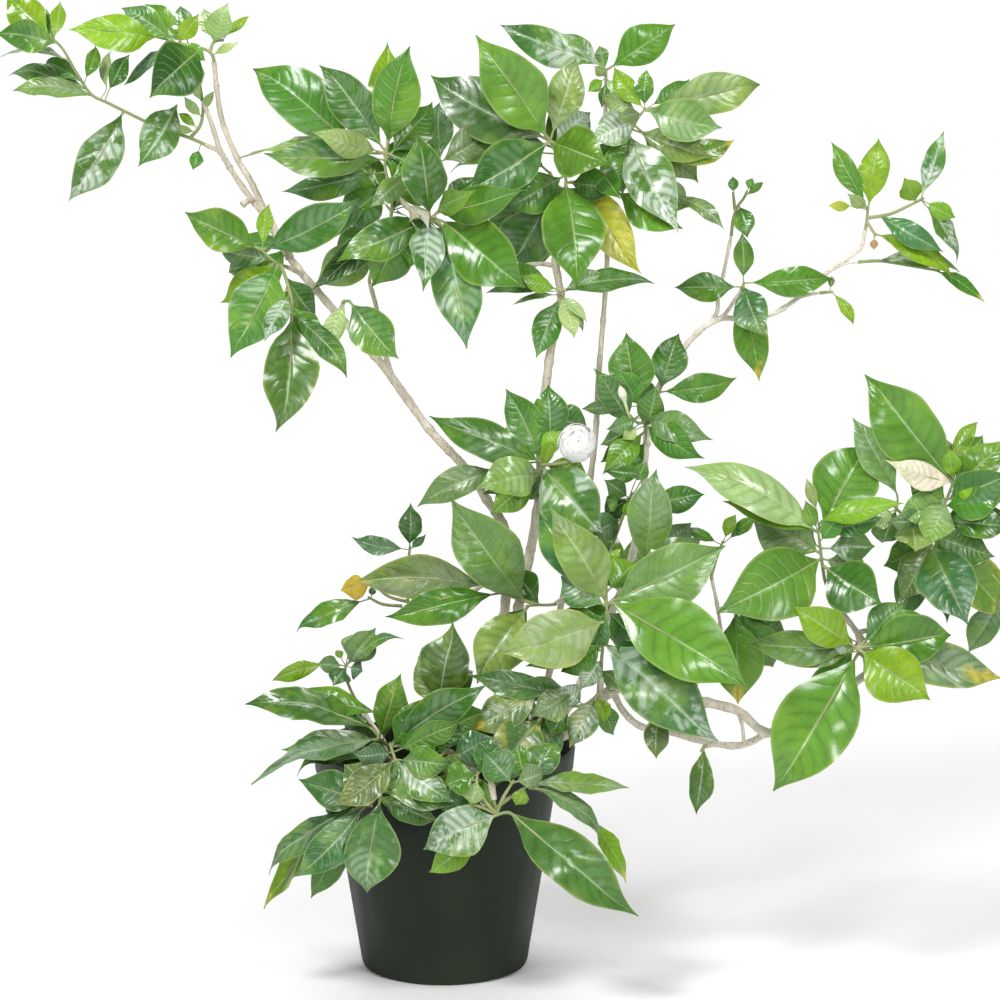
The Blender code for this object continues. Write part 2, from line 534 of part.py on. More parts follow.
def clear_scene():
    for thing in list(bpy.data.objects):
        bpy.data.objects.remove(thing, do_unlink=True)


def new_collection(name):
    made = bpy.data.collections.new(name)
    bpy.context.scene.collection.children.link(made)
    return made


def seen(x, y, depth):
    """The point at this depth that shows at this pixel."""
    right = (x - MIDDLE) / FOCAL
    down = (y - MIDDLE) / FOCAL
    ray = AHEAD + Vector((right, 0.0, 0.0)) - UPWARD * down
    return EYE + ray * ((depth - EYE.y) / ray.y)


def pixel(point):
    """Where a point shows in the picture."""
    ray = point - EYE
    far = ray.dot(AHEAD)
    return MIDDLE + FOCAL * ray.x / far, MIDDLE - FOCAL * ray.dot(UPWARD) / far


def new_object(name, data, collection):
    made = bpy.data.objects.new(name, data)
    collection.objects.link(made)
    return made


def evaluated_copy(thing):
    """The object's mesh with its modifiers applied, or its curve as a mesh."""
    bpy.context.view_layer.update()
    graph = bpy.context.evaluated_depsgraph_get()
    return bpy.data.meshes.new_from_object(thing.evaluated_get(graph), depsgraph=graph)


def thinning(first, last, count):
    """Radii that run evenly from the first to the last."""
    return [first + (last - first) * number / (count - 1) for number in range(count)]


def tube(name, route, radii, sides, collection):
    """A round stem along a route, with a radius at each of its points."""
    curve = bpy.data.curves.new(name, "CURVE")
    curve.dimensions = "3D"
    curve.bevel_depth = 1.0
    curve.bevel_resolution = (sides - 4) // 2
    curve.use_fill_caps = True
    spline = curve.splines.new("POLY")
    spline.points.add(len(route) - 1)
    for spot, place, radius in zip(spline.points, route, radii):
        spot.co = (*place, 1.0)
        spot.radius = radius
    guide = new_object(name, curve, collection)
    mesh = evaluated_copy(guide)
    bpy.data.objects.remove(guide, do_unlink=True)
    shape = bmesh.new()
    shape.from_mesh(mesh)
    bmesh.ops.remove_doubles(shape, verts=shape.verts, dist=0.00002)
    bmesh.ops.recalc_face_normals(shape, faces=shape.faces)
    shape.to_mesh(mesh)
    shape.free()
    return new_object(name, mesh, collection)


def wood_routes(stem):
    """Every branch of a stem as a smooth route. The first one starts deep in its hole."""
    routes = []
    for number, (places, first, last) in enumerate(stem["branches"]):
        points = [seen(*place) for place in places]
        if number == 0:
            x, y = stem["foot"]
            low = Vector((x, y, SOIL_TOP - HOLE_DEPTH + GAP))
            points = [low, Vector((x, y, SOIL_TOP - 0.012)), Vector((x, y, SOIL_TOP + 0.012))] + points
        routes.append((points, first, last))
    return routes


def leaf_frame(foot, tip, wide, turn):
    """The blade's real width and the way its upper face looks, from how wide the viewer sees it."""
    along = (tip - foot).normalized()
    middle = (foot + tip) / 2
    sight = (EYE - middle).normalized()
    face = (sight - along * sight.dot(along)).normalized()
    side = along.cross(face)
    shown = wide * (middle - EYE).dot(AHEAD) / FOCAL
    width = max(shown, SLIM_BLADE * (tip - foot).length)
    roll = acos(max(min(shown / width, 1.0), 0.30)) + turn
    ways = [face * cos(roll) + side * sin(roll) * way for way in (1, -1)]
    return width, max(ways, key=lambda way: way.z)


def leaf_sheet(name, root, foot, tip, wide, number, arch, turn, collection):
    """A leaf as an open sheet: its stalk from the twig, then its blade. A wide one is folded."""
    width, upward = leaf_frame(foot, tip, wide, turn)
    long_stalk = (foot - root).length > LONG_STALK
    start = foot if long_stalk else root
    knee = (start + tip) / 2 + upward * 2 * arch * (tip - start).length
    rows = [(root, foot - root, STALK_WIDTH / 2, (0.0, 0.0))]
    if long_stalk:
        rows.append((foot, knee - foot, STALK_WIDTH * 0.65, (0.0, 0.0)))
    columns = 2 if wide >= FOLDED_LEAF else 1
    for t, share in BROAD_OUTLINE if wide >= BROAD_LEAF else SLIM_OUTLINE:
        place = start * (1 - t)**2 + knee * 2 * t * (1 - t) + tip * t**2
        heading = (knee - start) * (1 - t) + (tip - knee) * t
        half = width / 2 * share
        fold = half * sin(FOLD) * (columns - 1)
        lifts = [fold + WAVE * width * sin(7.0 * t + number + 1.6 * side) for side in (-1, 1)]
        rows.append((place, heading, half, lifts))
    rows.append((tip, tip - knee, 0.0, (0.0, 0.0)))
    return sheet(name, rows, columns, upward, collection)


def sheet(name, rows, columns, upward, collection):
    """A thin blade through rows of (middle, heading, half width, how far each edge is lifted)."""
    made = bmesh.new()
    bmesh.ops.create_grid(made, x_segments=columns, y_segments=len(rows) - 1, size=1.0)
    for vert in made.verts:
        column = round(vert.co.x)
        place, heading, half, lifts = rows[round((vert.co.y + 1) / 2 * (len(rows) - 1))]
        heading = heading.normalized()
        rise = (upward - heading * upward.dot(heading)).normalized()
        lift = 0.0 if column == 0 else lifts[column > 0]
        vert.co = place + heading.cross(rise) * column * half + rise * lift
    bmesh.ops.remove_doubles(made, verts=made.verts, dist=0.00001)
    bmesh.ops.triangulate(made, faces=made.faces)
    mesh = bpy.data.meshes.new(name)
    made.to_mesh(mesh)
    made.free()
    blade = new_object(name, mesh, collection)
    wall = blade.modifiers.new("blade", "SOLIDIFY")
    wall.thickness = BLADE
    wall.offset = 0.0
    return blade


def fuse(name, pieces, material, collection, solver="MANIFOLD"):
    """The pieces joined into one body, and the loose scraps that the joining leaves dropped."""
    whole = pieces[0]
    whole.name = name
    rest = bpy.data.collections.new(name + "_joined")
    bpy.context.scene.collection.children.link(rest)
    for piece in pieces[1:]:
        for old in list(piece.users_collection):
            old.objects.unlink(piece)
        rest.objects.link(piece)
    join = whole.modifiers.new("join", "BOOLEAN")
    join.operation = "UNION"
    join.operand_type = "COLLECTION"
    join.collection = rest
    join.solver = solver
    mesh = evaluated_copy(whole)
    whole.modifiers.clear()
    whole.data = mesh
    for piece in pieces[1:]:
        bpy.data.objects.remove(piece, do_unlink=True)
    bpy.data.collections.remove(rest)
    clean(mesh)
    mesh.name = name
    mesh.materials.clear()
    mesh.materials.append(material)
    for old in list(whole.users_collection):
        old.objects.unlink(whole)
    collection.objects.link(whole)
    return whole


def clean(mesh):
    """Leaves one closed body: drops flat pockets, loose scraps and the walls of sealed hollows."""
    shape = bmesh.new()
    shape.from_mesh(mesh)
    bmesh.ops.triangulate(shape, faces=shape.faces)
    twins = {}
    for face in shape.faces:
        twins.setdefault(frozenset(face.verts), []).append(face)
    pockets = [face for group in twins.values() if len(group) > 1 for face in group]
    bmesh.ops.delete(shape, geom=pockets, context="FACES")
    groups = []
    waiting = set(shape.verts)
    while waiting:
        group = set()
        front = [waiting.pop()]
        while front:
            vert = front.pop()
            group.add(vert)
            beyond = {edge.other_vert(vert) for edge in vert.link_edges} & waiting
            waiting -= beyond
            front.extend(beyond)
        groups.append(group)
    groups.sort(key=len)
    for group in groups[:-1]:
        bmesh.ops.delete(shape, geom=list(group), context="VERTS")
    thin_seams(shape)
    shape.to_mesh(mesh)
    shape.free()


def thin_seams(shape):
    """Draws together the crowded points along the seams, where the surface stays closed."""
    for edge in sorted(shape.edges, key=lambda edge: edge.calc_length()):
        if not edge.is_valid or edge.calc_length() > SHORTEST_EDGE:
            continue
        around = [{spoke.other_vert(vert) for spoke in vert.link_edges} for vert in edge.verts]
        if len(around[0] & around[1]) == 2 and keeps_facing(edge):
            bmesh.ops.collapse(shape, edges=[edge], uvs=False)


def keeps_facing(edge):
    """Whether no face beside the edge turns over when its two ends meet in their middle."""
    middle = (edge.verts[0].co + edge.verts[1].co) / 2
    for vert in edge.verts:
        for face in vert.link_faces:
            if face not in edge.link_faces:
                now = [corner.co for corner in face.verts]
                then = [middle if corner == vert else corner.co for corner in face.verts]
                if normal(now).dot(normal(then)) < STEADY:
                    return False
    return True


def new_material(name):
    colour, roughness = COLOURS[name]
    made = bpy.data.materials.new(name)
    made.use_nodes = True
    surface = made.node_tree.nodes["Principled BSDF"]
    surface.inputs["Base Color"].default_value = (*colour, 1.0)
    surface.inputs["Roughness"].default_value = roughness
    made.diffuse_color = (*colour, 1.0)
    return made


def turned(name, profile, collection, sides):
    """A profile of (radius, height) spun round the pot's axis."""
    mesh = bpy.data.meshes.new(name)
    mesh.from_pydata([(radius, 0.0, height) for radius, height in profile],
                     [(n, n + 1) for n in range(len(profile) - 1)], [])
    made = new_object(name, mesh, collection)
    spin = made.modifiers.new("spin", "SCREW")
    spin.steps = sides
    spin.render_steps = sides
    spin.use_merge_vertices = True
    spin.merge_threshold = 0.00005
    return made


def wall_radius(height):
    """The pot's outer radius below its lip."""
    return BASE_RADIUS + (NECK_RADIUS - BASE_RADIUS) * height / (POT_HEIGHT - LIP_DEPTH)


def make_pot(materials, collection, cutters):
    shoulder = POT_HEIGHT - LIP_DEPTH
    profile = [
        (LIP_RADIUS - 0.0020, POT_HEIGHT), (LIP_RADIUS, POT_HEIGHT - 0.0024),
        (LIP_RADIUS - 0.0022, shoulder + 0.0030), (NECK_RADIUS + 0.0040, shoulder),
        (NECK_RADIUS, shoulder - 0.0040), (wall_radius(0.004), 0.0040),
        (BASE_RADIUS - 0.0035, 0.0), (0.0, 0.0),
    ]
    pot = turned("pot", profile, collection, POT_SIDES)
    shell = pot.modifiers.new("wall", "SOLIDIFY")
    shell.thickness = POT_WALL
    shell.offset = -1.0
    shell.use_even_offset = True
    pot.data.materials.append(materials["pot_plastic"])
    for number in range(4):
        angle = pi / 4 + number * pi / 2
        bpy.ops.mesh.primitive_cylinder_add(
            vertices=12, radius=0.0065, depth=4 * POT_WALL,
            location=(0.052 * cos(angle), 0.052 * sin(angle), POT_WALL / 2))
        drain = bpy.context.object
        drain.name = "drain_" + str(number)
        hide_cutter(drain, cutters)
        cut(pot, drain)
    return pot


def hide_cutter(thing, cutters):
    for old in list(thing.users_collection):
        old.objects.unlink(thing)
    cutters.objects.link(thing)
    thing.hide_render = True
    thing.display_type = "WIRE"


def cut(thing, cutter):
    made = thing.modifiers.new("cut_" + cutter.name, "BOOLEAN")
    made.operation = "DIFFERENCE"
    made.object = cutter
    made.solver = "EXACT"


def make_soil(materials, collection, cutters):
    """The filled inside of the pot, with a plain hole for each stem."""
    lean = (NECK_RADIUS - BASE_RADIUS) / (POT_HEIGHT - LIP_DEPTH)
    inset = POT_WALL * (1 + lean**2)**0.5 + GAP
    floor = POT_WALL + GAP
    profile = [(0.0, SOIL_TOP + SOIL_MOUND)]
    for share in (0.5, 1.0):
        rim = wall_radius(SOIL_TOP) - inset
        profile.append((rim * share, SOIL_TOP + SOIL_MOUND * (1 - share**2)))
    profile += [(wall_radius(0.008) - inset, 0.008), (BASE_RADIUS - 0.0070, floor), (0.0, floor)]
    soil = turned("soil", profile, collection, POT_SIDES)
    soil.data.materials.append(materials["potting_soil"])
    for name, stem in STEMS.items():
        x, y = stem["foot"]
        radius = stem["branches"][0][1]
        bpy.ops.mesh.primitive_cylinder_add(
            vertices=12, radius=(radius + GAP) / cos(pi / 12), depth=HOLE_DEPTH + 0.04,
            location=(x, y, SOIL_TOP - HOLE_DEPTH + (HOLE_DEPTH + 0.04) / 2))
        hole = bpy.context.object
        hole.name = "hole_" + name
        hide_cutter(hole, cutters)
        cut(soil, hole)
    return soil


def make_stem(name, stem, materials, collection):
    pieces = []
    for number, (route, first, last) in enumerate(wood_routes(stem)):
        radii = thinning(first, last, len(route))
        pieces.append(tube(name + "_" + str(number), route, radii, 6, collection))
    if len(pieces) == 1:
        pieces[0].name = name
        pieces[0].data.materials.append(materials["bark"])
        return pieces[0]
    return fuse(name, pieces, materials["bark"], collection)


def twig_routes(spray):
    """A shoot's twigs. The first one starts a hair's breadth past the end of its woody branch."""
    stem, branch = spray["on"]
    wood = wood_routes(STEMS[stem])[branch][0]
    onward = (wood[-1] - wood[-2]).normalized()
    routes = []
    for number, places in enumerate(spray["twigs"]):
        points = [seen(*place) for place in places]
        if number == 0:
            points = [wood[-1] + onward * GAP, wood[-1] + onward * (GAP + 0.002)] + points
        routes.append(points)
    return routes


def nearest_root(routes, x, y):
    """The point of the twigs that shows nearest to this pixel."""
    best = None
    for route in routes:
        for start, end in zip(route, route[1:]):
            for share in (0.2, 0.5, 0.8):
                place = start.lerp(end, share)
                at_x, at_y = pixel(place)
                miss = (at_x - x)**2 + (at_y - y)**2
                if best is None or miss < best[0]:
                    best = (miss, place)
    return best[1]


def calyx_end(route):
    """Where a twig's calyx ends, and the way it points."""
    onward = (route[-1] - route[-2]).normalized()
    return route[-1] + onward * CALYX, onward


def make_spray(name, spray, materials, collection):
    routes = twig_routes(spray)
    pieces = []
    for number, route in enumerate(routes):
        radii = thinning(TWIG_RADIUS, TWIG_END, len(route))
        if (name, number) in (FLOWER["on"], BUD["on"]):
            route = route + [calyx_end(route)[0]]
            radii.append(CALYX_RADIUS)
        pieces.append(tube(name + "_twig", route, radii, 4, collection))
    rooting = [routes[0][1:]] + [route for number, route in enumerate(routes)
                                 if number and (name, number) not in (FLOWER["on"], BUD["on"])]
    for number, row in enumerate(spray["leaves"]):
        (x, y), (tip_x, tip_y), wide, away = row[:4]
        arch = row[4] if len(row) > 4 else ARCH
        turn = row[5] if len(row) > 5 else 0.0
        root = nearest_root(rooting, x, y)
        foot = seen(x, y, root.y + 0.10 * away)
        tip = seen(tip_x, tip_y, root.y + away)
        short = SHORTEST_STALK - (foot - root).length
        if short > 0:
            foot = foot + (tip - foot).normalized() * short
        pieces.append(leaf_sheet(name + "_leaf", root, foot, tip, wide, number, arch, turn,
                                 collection))
    return fuse(name, pieces, materials["leaf"], collection)


def make_flower(materials, collection):
    """The white tube and three rounds of petals, each round smaller and more upright."""
    shoot, number = FLOWER["on"]
    start, axis = calyx_end(twig_routes(SPRAYS[shoot])[number])
    centre = seen(*FLOWER["centre"])
    route = [start + axis * GAP, start + axis * (GAP + 0.003), centre]
    axis = (centre - route[1]).normalized()
    route[2] = centre + axis * 0.0015
    pieces = [tube("flower_tube", route, (0.0012, 0.0012, 0.0020), 6, collection)]
    side = axis.orthogonal().normalized()
    for level, (count, share, least_rise) in enumerate(ROUNDS):
        for number in range(count):
            angle = 2 * pi * number / count + 0.45 * level
            rise = least_rise + PETAL_SWAY * sin(2.4 * number + level)
            out = Quaternion(axis, angle) @ side
            heading = out * cos(rise) + axis * sin(rise)
            upward = axis * cos(rise) - out * sin(rise)
            length = FLOWER["radius"] * share
            half = 0.30 * length
            rows = []
            for t, breadth in PETAL_OUTLINE:
                place = centre + heading * length * t + upward * 0.10 * length * sin(pi * t)
                lifts = (-0.12 * half, 0.30 * half)
                rows.append((place, heading, half * breadth, lifts))
            rows.append((centre + heading * length, heading, half * 0.30, (0.0, 0.0)))
            pieces.append(sheet("flower_petal", rows, 1, upward, collection))
    return fuse("flower", pieces, materials["petal"], collection)


def make_bud(materials, collection):
    shoot, number = BUD["on"]
    start, onward = calyx_end(twig_routes(SPRAYS[shoot])[number])
    low = start + onward * (GAP + 0.003)
    tip = seen(*BUD["tip"])
    route = [start + onward * GAP] + [low.lerp(tip, t) for t, radius in BUD_SHAPE]
    radii = [BUD_SHAPE[0][1]] + [radius for t, radius in BUD_SHAPE]
    bud = tube("bud", route, radii, 8, collection)
    bud.data.materials.append(materials["bud"])
    return bud


def main():
    clear_scene()
    plant = new_collection("potted_crape_jasmine")
    cutters = new_collection("cutters")
    materials = {name: new_material(name) for name in COLOURS}
    make_pot(materials, plant, cutters)
    make_soil(materials, plant, cutters)
    for name, stem in STEMS.items():
        make_stem(name, stem, materials, plant)
    for name, spray in SPRAYS.items():
        make_spray(name, spray, materials, plant)
    make_flower(materials, plant)
    make_bud(materials, plant)


main()
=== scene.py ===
import random
from math import acos, ceil, cos, exp, pi, radians, sin

import bpy
import numpy as np
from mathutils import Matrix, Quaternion, Vector, noise


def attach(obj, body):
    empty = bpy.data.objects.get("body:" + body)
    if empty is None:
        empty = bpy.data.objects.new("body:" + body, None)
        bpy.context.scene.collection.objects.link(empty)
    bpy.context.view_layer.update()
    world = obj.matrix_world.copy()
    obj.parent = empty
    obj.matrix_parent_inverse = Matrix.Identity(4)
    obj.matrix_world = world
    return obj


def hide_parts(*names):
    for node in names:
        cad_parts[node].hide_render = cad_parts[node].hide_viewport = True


# A potted crape jasmine: forking stems, glossy leaves, one white bloom and one bud, in a nursery pot.
# Every place on the plant is a pixel of a 1000 x 1000 picture and a depth behind the pot's axis.

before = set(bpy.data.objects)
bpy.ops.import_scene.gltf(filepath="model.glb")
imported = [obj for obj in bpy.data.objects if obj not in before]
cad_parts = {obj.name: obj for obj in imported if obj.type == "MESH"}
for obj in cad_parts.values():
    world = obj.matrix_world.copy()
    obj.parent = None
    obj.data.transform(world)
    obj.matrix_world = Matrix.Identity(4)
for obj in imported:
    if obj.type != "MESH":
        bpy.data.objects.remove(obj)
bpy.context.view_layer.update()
bpy.ops.object.select_all(action="DESELECT")
print("frame loaded,", len(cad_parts), "solids")


# the viewer and the light

# focal, middle and picture are in pixels, sensor is in millimetres
viewer = dict(
    eye=Vector((0.050, -2.200, 0.695)), pitch=radians(7.1), focal=2500.0, middle=500.0, picture=1000.0,
    sensor=36.0, farthest=30.0,
)
ahead = Vector((0.0, cos(viewer["pitch"]), -sin(viewer["pitch"])))
upward = Vector((0.0, sin(viewer["pitch"]), cos(viewer["pitch"])))

studio = dict(
    sky=(1.0, 1.0, 1.0), skyStrength=0.26,
    lamps={  # place, what it looks at, width and height, watts
        "lampTopLeft": ((-0.95, -1.45, 2.15), (0.0, 0.0, 0.50), 0.60, 0.50, 38.0),
        "lampTopRight": ((1.25, -1.70, 1.65), (0.05, 0.0, 0.45), 0.55, 0.50, 20.0),
        "lampFront": ((0.10, -2.60, 1.15), (0.0, 0.0, 0.35), 0.45, 0.45, 11.0),
        "lampWall": ((0.0, 1.10, 3.20), (0.0, 3.60, 0.60), 2.40, 0.80, 75.0),
    },
    floorWidth=7.0, wallHeight=4.0, bend=1.2, bendCuts=16, edgeBand=0.01,
)


# the point that shows at this pixel at this depth
def seenPoint(x, y, depth):
    right = (x - viewer["middle"]) / viewer["focal"]
    down = (y - viewer["middle"]) / viewer["focal"]
    ray = ahead + Vector((right, 0.0, 0.0)) - upward * down
    return viewer["eye"] + ray * ((depth - viewer["eye"].y) / ray.y)


# the pixel that a point shows at
def pixelOf(point):
    ray = point - viewer["eye"]
    far = ray.dot(ahead)
    return (viewer["middle"] + viewer["focal"] * ray.x / far,
            viewer["middle"] - viewer["focal"] * ray.dot(upward) / far)


def pickUp(*pieces):
    bpy.ops.object.select_all(action="DESELECT")
    for piece in pieces:
        piece.select_set(True)
    bpy.context.view_layer.objects.active = pieces[0]


def makeCamera():
    bpy.ops.object.camera_add(location=viewer["eye"], rotation=(pi / 2 - viewer["pitch"], 0.0, 0.0))
    camera = bpy.context.object
    camera.name = "viewerCamera"
    camera.data.sensor_width = viewer["sensor"]
    camera.data.lens = viewer["sensor"] * viewer["focal"] / viewer["picture"]
    camera.data.clip_end = viewer["farthest"]
    bpy.context.scene.camera = camera


def makeLamps():
    for name, (place, target, width, height, watts) in studio["lamps"].items():
        bpy.ops.object.light_add(type="AREA", location=place)
        lamp = bpy.context.object
        lamp.name = name
        lamp.data.shape = "RECTANGLE"
        lamp.data.size = width
        lamp.data.size_y = height
        lamp.data.energy = watts
        look = Vector(target) - Vector(place)
        lamp.rotation_euler = look.to_track_quat("-Z", "Y").to_euler()
    world = bpy.data.worlds.new("studioSky")
    world.use_nodes = True
    backing = world.node_tree.nodes["Background"]
    backing.inputs["Color"].default_value = (*studio["sky"], 1.0)
    backing.inputs["Strength"].default_value = studio["skyStrength"]
    bpy.context.scene.world = world
    bpy.context.scene.view_settings.view_transform = "Standard"
    bpy.context.scene.view_settings.look = "None"


# a white sweep: the floor's far edge is drawn up into a wall and the fold is rounded
def makeFloor():
    farEdge = studio["floorWidth"] / 2 - studio["edgeBand"]
    bpy.ops.mesh.primitive_plane_add(size=studio["floorWidth"], location=(0.0, 0.0, 0.0))
    sweep = bpy.context.object
    sweep.name = "studioSweep"
    bpy.ops.object.mode_set(mode="EDIT")
    bpy.ops.mesh.select_mode(type="EDGE")
    bpy.ops.mesh.select_all(action="DESELECT")
    bpy.ops.object.mode_set(mode="OBJECT")
    mesh = sweep.data
    for edge in mesh.edges:
        edge.select = all(mesh.vertices[end].co.y > farEdge for end in edge.vertices)
    bpy.ops.object.mode_set(mode="EDIT")
    bpy.ops.mesh.extrude_region_move(
        TRANSFORM_OT_translate={"value": (0.0, 0.0, studio["wallHeight"])})
    bpy.ops.mesh.select_all(action="DESELECT")
    bpy.ops.object.mode_set(mode="OBJECT")
    for edge in mesh.edges:
        ends = [mesh.vertices[end].co for end in edge.vertices]
        edge.select = all(end.y > farEdge and end.z < studio["edgeBand"] for end in ends)
    bpy.ops.object.mode_set(mode="EDIT")
    bpy.ops.mesh.bevel(offset=studio["bend"], segments=studio["bendCuts"], profile=0.5)
    bpy.ops.object.mode_set(mode="OBJECT")
    bpy.ops.object.shade_smooth()
    sweep.data.materials.append(finishes["studioPaper"])


# shader building

def addNode(tree, kind, **settings):
    node = tree.nodes.new(kind)
    for key, value in settings.items():
        setattr(node, key, value)
    return node


# a socket takes a link or a plain value
def feed(tree, node, socket, source):
    if isinstance(source, bpy.types.NodeSocket):
        tree.links.new(source, node.inputs[socket])
    else:
        node.inputs[socket].default_value = source


def sumUp(tree, operation, first, second=0.0, third=0.0, clamp=False):
    node = addNode(tree, "ShaderNodeMath", operation=operation, use_clamp=clamp)
    for socket, source in enumerate((first, second, third)):
        feed(tree, node, socket, source)
    return node.outputs[0]


def ease(tree, value, low, high, atLow=0.0, atHigh=1.0):
    node = addNode(tree, "ShaderNodeMapRange", interpolation_type="SMOOTHSTEP")
    for socket, source in enumerate((value, low, high, atLow, atHigh)):
        feed(tree, node, socket, source)
    return node.outputs[0]


def blendColour(tree, share, first, second, way="MIX"):
    node = addNode(tree, "ShaderNodeMix", data_type="RGBA", blend_type=way)
    feed(tree, node, 0, share)
    feed(tree, node, 6, first if isinstance(first, bpy.types.NodeSocket) else (*first, 1.0))
    feed(tree, node, 7, second if isinstance(second, bpy.types.NodeSocket) else (*second, 1.0))
    return node.outputs[2]


def newGroup(name, inputs, outputs):
    group = bpy.data.node_groups.new(name, "ShaderNodeTree")
    for label, kind, value in inputs:
        socket = group.interface.new_socket(name=label, in_out="INPUT", socket_type=kind)
        socket.default_value = value
    for label, kind in outputs:
        group.interface.new_socket(name=label, in_out="OUTPUT", socket_type=kind)
    return group, group.nodes.new("NodeGroupInput").outputs, group.nodes.new("NodeGroupOutput")


def useGroup(tree, group, **values):
    node = addNode(tree, "ShaderNodeGroup", node_tree=group)
    for label, value in values.items():
        feed(tree, node, label, value)
    return node.outputs


def newFinish(name, **settings):
    finish = bpy.data.materials.new(name)
    finish.use_nodes = True
    shader = finish.node_tree.nodes["Principled BSDF"]
    for label, value in settings.items():
        shader.inputs[label.replace("_", " ")].default_value = value
    return finish, finish.node_tree, shader


def addBump(tree, shader, height, strength, distance):
    bump = addNode(tree, "ShaderNodeBump")
    feed(tree, bump, "Strength", strength)
    feed(tree, bump, "Distance", distance)
    feed(tree, bump, "Height", height)
    tree.links.new(bump.outputs["Normal"], shader.inputs["Normal"])


# soft clouds and small specks over the object, used by every finish
def makeCloudGroup():
    group, given, out = newGroup(
        "clouds",
        [("Scale", "NodeSocketFloat", 30.0), ("Stretch", "NodeSocketVector", (1.0, 1.0, 1.0)),
         ("Roughness", "NodeSocketFloat", 0.6)],
        [("Cloud", "NodeSocketFloat"), ("Speck", "NodeSocketFloat")])
    place = addNode(group, "ShaderNodeTexCoord")
    fit = addNode(group, "ShaderNodeVectorMath", operation="MULTIPLY")
    feed(group, fit, 0, place.outputs["Object"])
    feed(group, fit, 1, given["Stretch"])
    cloud = addNode(group, "ShaderNodeTexNoise")
    feed(group, cloud, "Vector", fit.outputs[0])
    feed(group, cloud, "Scale", given["Scale"])
    feed(group, cloud, "Detail", 4.0)
    feed(group, cloud, "Roughness", given["Roughness"])
    feed(group, out, "Cloud", ease(group, cloud.outputs[0], 0.28, 0.72))
    speck = addNode(group, "ShaderNodeTexVoronoi")
    feed(group, speck, "Vector", fit.outputs[0])
    feed(group, speck, "Scale", sumUp(group, "MULTIPLY", given["Scale"], 6.0))
    feed(group, out, "Speck", ease(group, speck.outputs["Distance"], 0.10, 0.32, 1.0, 0.0))
    return group


# the midrib and the side veins of a blade, whose map runs across it in U and along it in V
def makeVeinGroup():
    group, given, out = newGroup(
        "bladeVeins", [("Pairs", "NodeSocketFloat", 11.0)],
        [("Midrib", "NodeSocketFloat"), ("Veins", "NodeSocketFloat"), ("Quilt", "NodeSocketFloat"),
         ("Across", "NodeSocketFloat"), ("Along", "NodeSocketFloat")])
    chart = addNode(group, "ShaderNodeUVMap", uv_map="UVMap")
    parts = addNode(group, "ShaderNodeSeparateXYZ")
    feed(group, parts, 0, chart.outputs[0])
    along = parts.outputs[1]
    centred = sumUp(group, "MULTIPLY_ADD", parts.outputs[0], 2.0, -1.0)
    across = sumUp(group, "ABSOLUTE", centred)
    narrow = sumUp(group, "MULTIPLY_ADD", along, 0.03, 0.012)
    wide = sumUp(group, "MULTIPLY_ADD", along, 0.09, 0.055)
    midrib = ease(group, across, narrow, wide, 1.0, 0.0)
    drift = addNode(group, "ShaderNodeTexNoise")
    feed(group, drift, "Vector", chart.outputs[0])
    feed(group, drift, "Scale", 3.0)
    feed(group, drift, "Detail", 2.0)
    uneven = sumUp(group, "MULTIPLY_ADD", drift.outputs[0], 0.07, along)
    beat = sumUp(group, "PINGPONG", sumUp(group, "MULTIPLY", uneven, given["Pairs"]), 0.5)
    stripe = ease(group, beat, 0.02, 0.12, 1.0, 0.0)
    inside = ease(group, across, 0.74, 0.97, 1.0, 0.0)
    feed(group, out, "Midrib", midrib)
    feed(group, out, "Veins", sumUp(group, "MULTIPLY", stripe, inside))
    feed(group, out, "Quilt", sumUp(group, "MULTIPLY", ease(group, beat, 0.0, 0.38), inside))
    feed(group, out, "Across", across)
    feed(group, out, "Along", along)
    return group


# the blade's surface. Colours are linear, and a share says how strongly one is laid on.
leafFinish = dict(
    roughness=0.20, coat=0.10, coatRoughness=0.08, relief=0.42, reliefDepth=0.0006,
    veinColour=(0.34, 0.50, 0.17), veinShare=0.34, midribColour=(0.46, 0.62, 0.30), midribShare=0.50,
    sunned=(0.22, 0.40, 0.030), sunnedShare=0.42, marginColour=(0.34, 0.48, 0.12), marginShare=0.38,
    # underside is the blade's own colour below; the whitish colour after it and its share are a painted
    # sheen
    underside=(0.22, 0.34, 0.14), undersideShare=0.55, paintedSheen=(0.80, 0.88, 0.80), paintedSheenShare=0.85,
    withered=(0.58, 0.50, 0.07), dead=(0.26, 0.13, 0.04),
)


